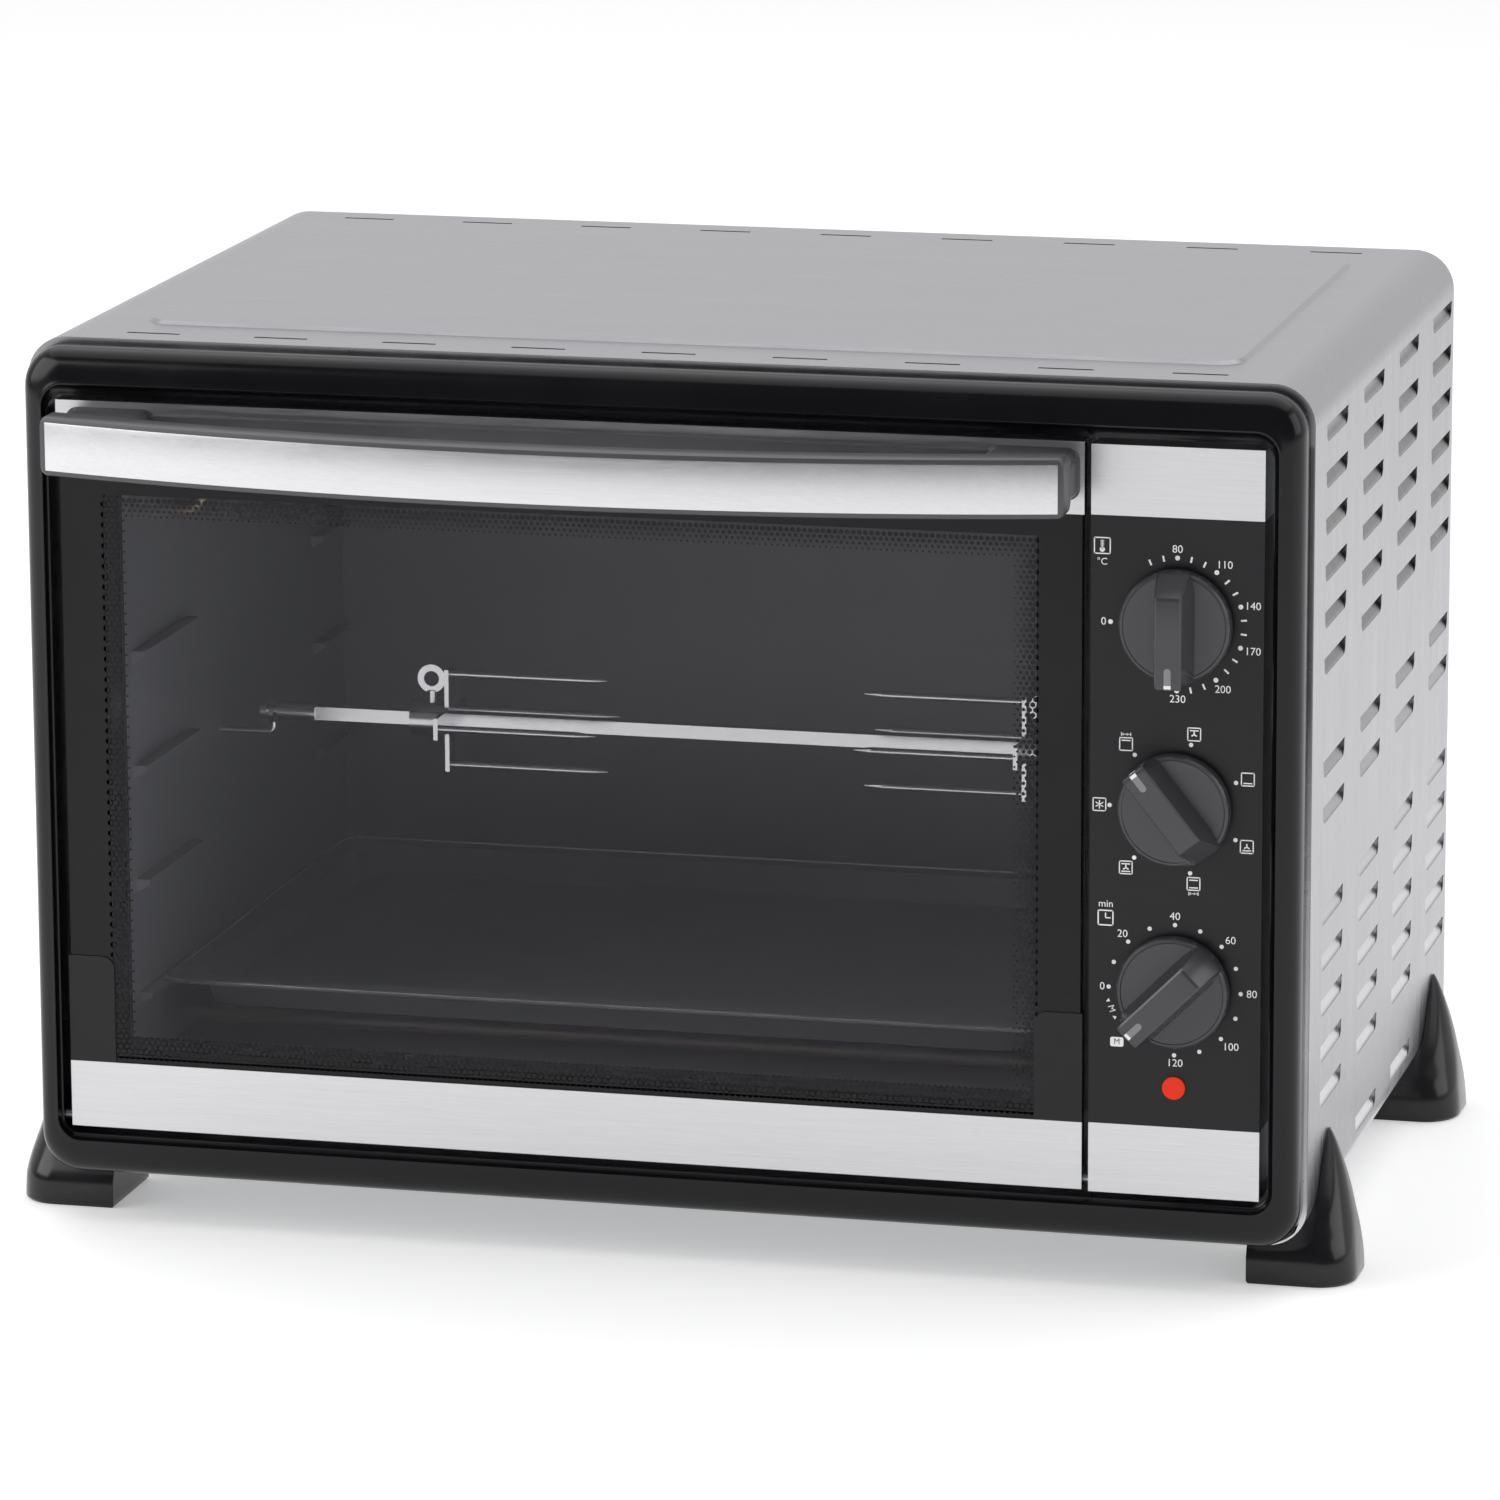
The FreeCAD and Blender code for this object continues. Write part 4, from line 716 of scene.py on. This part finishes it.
def print_timer_dial():
    ink = Ink(*dial_centre("timer_knob"))
    labels = {180: ("0", -2.8, 0.0), 135: ("20", -2.5, 3.3), 90: ("40", 0.0, 3.7),
              45: ("60", 3.8, 2.8), 0: ("80", 4.8, 0.0), -45: ("100", 4.3, -3.4),
              -90: ("120", 0.3, -3.5)}
    for index in range(13):
        angle = 180 - 22.5 * index
        x, z = polar(angle)
        ink.dot(x, z, 0.95)
        if angle in labels:
            words, dx, dz = labels[angle]
            ink.text(words, x + dx, z + dz)
    ink.text("M", -27.3, -9.6, 4.0, -72)
    for x, z, way in ((-28.8, -6.2, 1), (-26.0, -13.2, -1)):
        ink.polygon([(x - 0.9, z - 0.5 * way), (x + 0.9, z - 0.2 * way), (x + 0.2, z + 1.2 * way)])
    ink.bar(-22.6, -20.7, -20.5, -18.8, 1.3)
    cx, cz, w, h, r = -24.9, -24.1, 2.9, 2.1, 0.9
    ring = []
    for sx, sz, start in ((1, -1, -90), (1, 1, 0), (-1, 1, 90), (-1, -1, 180)):
        for step in range(5):
            a = math.radians(start + 22.5 * step)
            ring.append((cx + sx * (w - r) + r * math.cos(a), cz + sz * (h - r) + r * math.sin(a)))
    ink.polygon(ring)
    ink.text("min", -30.0, 36.3, 4.4)
    x, z = -30.1, 30.2
    ink.frame(x, z, 3.2, 0.6)
    ink.bar(x, z, x, z + 2.2, 0.55)
    ink.bar(x, z, x + 2.2, z, 0.55)
    ink.finish("timer_scale")
    letter = Ink(*dial_centre("timer_knob"), lift=0.14 * MM)
    letter.text("M", cx, cz, 3.6)
    letter.finish("timer_hold_letter", "panel_grey")


# ---------------------------------------------------------------- door window

def build_window_print():
    """The black border on the pane, with rings of dots that shrink towards the middle."""
    low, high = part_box("door_glass")
    y = low.y - 0.05 * MM
    border = 20.5 * MM
    x0, x1 = DOOR_X0 + border, DOOR_X1 - border
    z0 = low.z + 15.0 * MM
    z1 = high.z - 22.0 * MM
    outer = [(low.x, low.z), (high.x, low.z), (high.x, high.z), (low.x, high.z)]
    inner = [(x0, z0), (x1, z0), (x1, z1), (x0, z1)]
    vertices = [(x, y, z) for x, z in outer + inner]
    faces = [(k, (k + 1) % 4, 4 + (k + 1) % 4, 4 + k) for k in range(4)]
    border_print = add_mesh("window_border", vertices, faces, "ink", "door")
    spacing = 2.65 * MM
    row_step = spacing * math.sqrt(3) / 2
    band = 10.5 * MM
    vertices = []
    faces = []
    rows = int((z1 - z0) / row_step) + 1
    columns = int((x1 - x0) / spacing) + 1
    for row in range(rows):
        z = z0 + row * row_step
        for column in range(columns):
            x = x0 + (column + 0.5 * (row % 2)) * spacing
            inset = min(x - x0, x1 - x, z - z0, z1 - z)
            if inset > band or x > x1:
                continue
            radius = (1.34 - 0.92 * inset / band) * MM
            base = len(vertices)
            for k in range(6):
                a = math.radians(60 * k + 30)
                vertices.append((x + radius * math.cos(a), y, z + radius * math.sin(a)))
            faces.append(tuple(range(base, base + 6)))
    dots = add_mesh("window_dots", vertices, faces, "ink", "door")


# ---------------------------------------------------------------- feet

def foot_section(inner, outer, near, far, z, side):
    """One level of a foot: flat towards the casing and rounded on its outer side."""
    outward = min(16.0 * MM, (outer - inner) * 0.82)
    along = min(17.0 * MM, (far - near) * 0.46)
    points = [(inner, far), (inner, near)]
    for corner_y, start in ((near + along, -90), (far - along, 0)):
        for step in range(11):
            a = math.radians(start + 9 * step)
            points.append((outer - outward + outward * math.cos(a),
                           corner_y + along * math.sin(a)))
    return [(side * x, y, z) for x, y in points]


def build_foot(node, name):
    """A moulded foot whose horn sweeps up the casing's side in one curve."""
    low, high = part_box(node)
    side = 1 if high.x > 0 else -1
    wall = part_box("outer_casing")[1].x
    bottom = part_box("outer_casing")[0].z
    bend = 18.0 * MM
    play = 0.3 * MM
    width = max(abs(low.x), abs(high.x)) - wall
    levels = [0.0, 0.4, 1.2, 4.0, 8.0, 12.0, 16.0, 19.7, 19.72, 22.0, 25.0, 28.0, 31.0, 34.5,
              38.0, 42.0, 46.0, 50.0, 54.0, 57.0, 59.2, 60.4]
    loops = []
    for level in levels:
        z = level * MM
        share = z / high.z
        tuck = 0.8 * MM * max(0.0, 1.0 - z / (1.2 * MM))
        outer = wall + 0.9 * MM + (width - 0.9 * MM) * math.cos(share * math.pi / 2) ** 0.8 - tuck
        rise = max(0.0, z - 12.0 * MM) / (high.z - 12.0 * MM)
        near = low.y + 39.5 * MM * rise ** 1.25 + tuck
        far = high.y - 7.5 * MM * share ** 1.5 - tuck
        if z < bottom - 0.29 * MM:
            inner = wall - 27.9 * MM + tuck
        elif z < bottom + bend:
            drop = bottom + bend - z
            reach = bend + play
            inner = wall - bend + math.sqrt(max(0.0, reach ** 2 - drop ** 2))
        else:
            inner = wall + play
        loops.append(foot_section(inner, max(outer, inner + 0.5 * MM), near, far, z, side))
    vertices, faces = loft(loops)
    piece = add_mesh(name, vertices, faces, "foot", "housing", 40.0)
    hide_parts(node)


# ---------------------------------------------------------------- drip tray

def build_tray_bead():
    """The rolled lip along the top edge of the tray."""
    low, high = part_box("drip_tray")
    bead = 1.1 * MM
    x0, x1 = low.x + bead, high.x - bead
    y0, y1 = low.y + bead, high.y - bead
    z = high.z - bead * 0.3
    loops = []
    corner = 6.0 * MM
    path = []
    for cx, cy, start in ((x1 - corner, y0 + corner, -90), (x1 - corner, y1 - corner, 0),
                          (x0 + corner, y1 - corner, 90), (x0 + corner, y0 + corner, 180)):
        for step in range(7):
            a = math.radians(start + 15 * step)
            path.append((Vector((cx + corner * math.cos(a), cy + corner * math.sin(a), z)),
                         Vector((math.cos(a), math.sin(a), 0.0))))
    for point, outward in path:
        loops.append([point + bead * (outward * math.cos(t) + Vector((0, 0, 1)) * math.sin(t))
                      for t in (2 * math.pi * k / 10 for k in range(10))])
    loops.append(loops[0])
    vertices, faces = loft(loops, closed_ends=False)
    lip = add_mesh("tray_bead", vertices, faces, "chrome", "housing")


for corner in ("front_left", "front_right", "rear_left", "rear_right"):
    build_foot("foot_" + corner, "horn_foot_" + corner)
build_tray_bead()
build_bezel()
build_handle()
build_knob("temperature_knob", "temperature_grip", "temperature_dial", 180.0)
build_knob("function_knob", "function_grip", "function_dial", -38.6)
build_knob("timer_knob", "timer_grip", "timer_dial", -135.0)
print_temperature_dial()
print_function_dial()
print_timer_dial()
build_window_print()


# ---------------------------------------------------------------- studio

def camera():
    """The long lens view from the front right and a little above."""
    yaw = math.radians(14.20)
    pitch = math.radians(12.77)
    roll = math.radians(-0.28)
    distance = 3.657
    target = Vector((-0.0061, 0.0321, 0.1845))
    back = Vector((math.sin(yaw) * math.cos(pitch), -math.cos(yaw) * math.cos(pitch),
                   math.sin(pitch)))
    right = (-back).cross(Vector((0, 0, 1))).normalized()
    up = right.cross(-back)
    across = right * math.cos(roll) + up * math.sin(roll)
    upward = up * math.cos(roll) - right * math.sin(roll)
    data = bpy.data.cameras.new("camera")
    data.sensor_width = 36.0
    data.lens = 193.4
    data.clip_end = 50.0
    view = bpy.data.objects.new("camera", data)
    bpy.context.scene.collection.objects.link(view)
    axes = Matrix((across, upward, back)).transposed().to_4x4()
    view.matrix_world = Matrix.Translation(target + back * distance) @ axes
    bpy.context.scene.camera = view


def area_light(name, place, aim, size, power):
    data = bpy.data.lights.new(name, "AREA")
    data.shape = "RECTANGLE"
    data.size = size[0]
    data.size_y = size[1]
    data.energy = power
    lamp = bpy.data.objects.new(name, data)
    bpy.context.scene.collection.objects.link(lamp)
    lamp.location = place
    lamp.rotation_euler = (Vector(aim) - Vector(place)).to_track_quat("-Z", "Y").to_euler()


def surround(tree):
    """A white backdrop behind the object that fades to a dim room in front of it."""
    coords = tree.nodes.new("ShaderNodeTexCoord")
    split = tree.nodes.new("ShaderNodeSeparateXYZ")
    ramp = tree.nodes.new("ShaderNodeValToRGB")
    ramp.color_ramp.interpolation = "EASE"
    ramp.color_ramp.elements[0].position = 0.25
    ramp.color_ramp.elements[0].color = (0.16, 0.16, 0.17, 1.0)
    ramp.color_ramp.elements[1].position = 0.72
    ramp.color_ramp.elements[1].color = (1.0, 1.0, 1.0, 1.0)
    spread = node(tree, "ShaderNodeMapRange")
    spread.inputs["From Min"].default_value = -1.0
    tree.links.new(coords.outputs["Generated"], split.inputs["Vector"])
    tree.links.new(split.outputs["Y"], spread.inputs["Value"])
    tree.links.new(spread.outputs["Result"], ramp.inputs["Fac"])
    tree.links.new(ramp.outputs["Color"], tree.nodes["Background"].inputs["Color"])
    tree.nodes["Background"].inputs["Strength"].default_value = 0.95


def studio():
    """Three soft boxes and a pale floor."""
    scene = bpy.context.scene
    scene.view_settings.view_transform = "Standard"
    world = bpy.data.worlds.new("studio")
    scene.world = world
    world.use_nodes = True
    surround(world.node_tree)
    area_light("left_softbox", (-3.0, -2.0, 2.0), (0, 0, 0.2), (3.2, 2.6), 85)
    area_light("right_softbox", (3.2, -0.6, 1.6), (0, 0, 0.2), (2.4, 2.2), 30)
    area_light("top_softbox", (0.0, 0.4, 3.2), (0, 0, 0.2), (5.0, 4.0), 60)
    half = 14.0
    floor_mesh = bpy.data.meshes.new("floor")
    corners = [(-half, -half, 0), (half, -half, 0), (half, half, 0), (-half, half, 0)]
    floor_mesh.from_pydata(corners, [], [(0, 1, 2, 3)])
    floor = bpy.data.objects.new("floor", floor_mesh)
    scene.collection.objects.link(floor)
    material, tree, shader = new_material("studio_floor")
    speckle = stretched_noise(tree, (3.0, 3.0, 3.0))
    tree.links.new(tint(tree, speckle, (0.88, 0.88, 0.885), (0.90, 0.90, 0.905)),
                   shader.inputs["Base Color"])
    shader.inputs["Roughness"].default_value = 0.7
    shader.inputs["Emission Color"].default_value = (1.0, 1.0, 1.0, 1.0)
    shader.inputs["Emission Strength"].default_value = 0.30
    floor_mesh.materials.append(material)


camera()
studio()
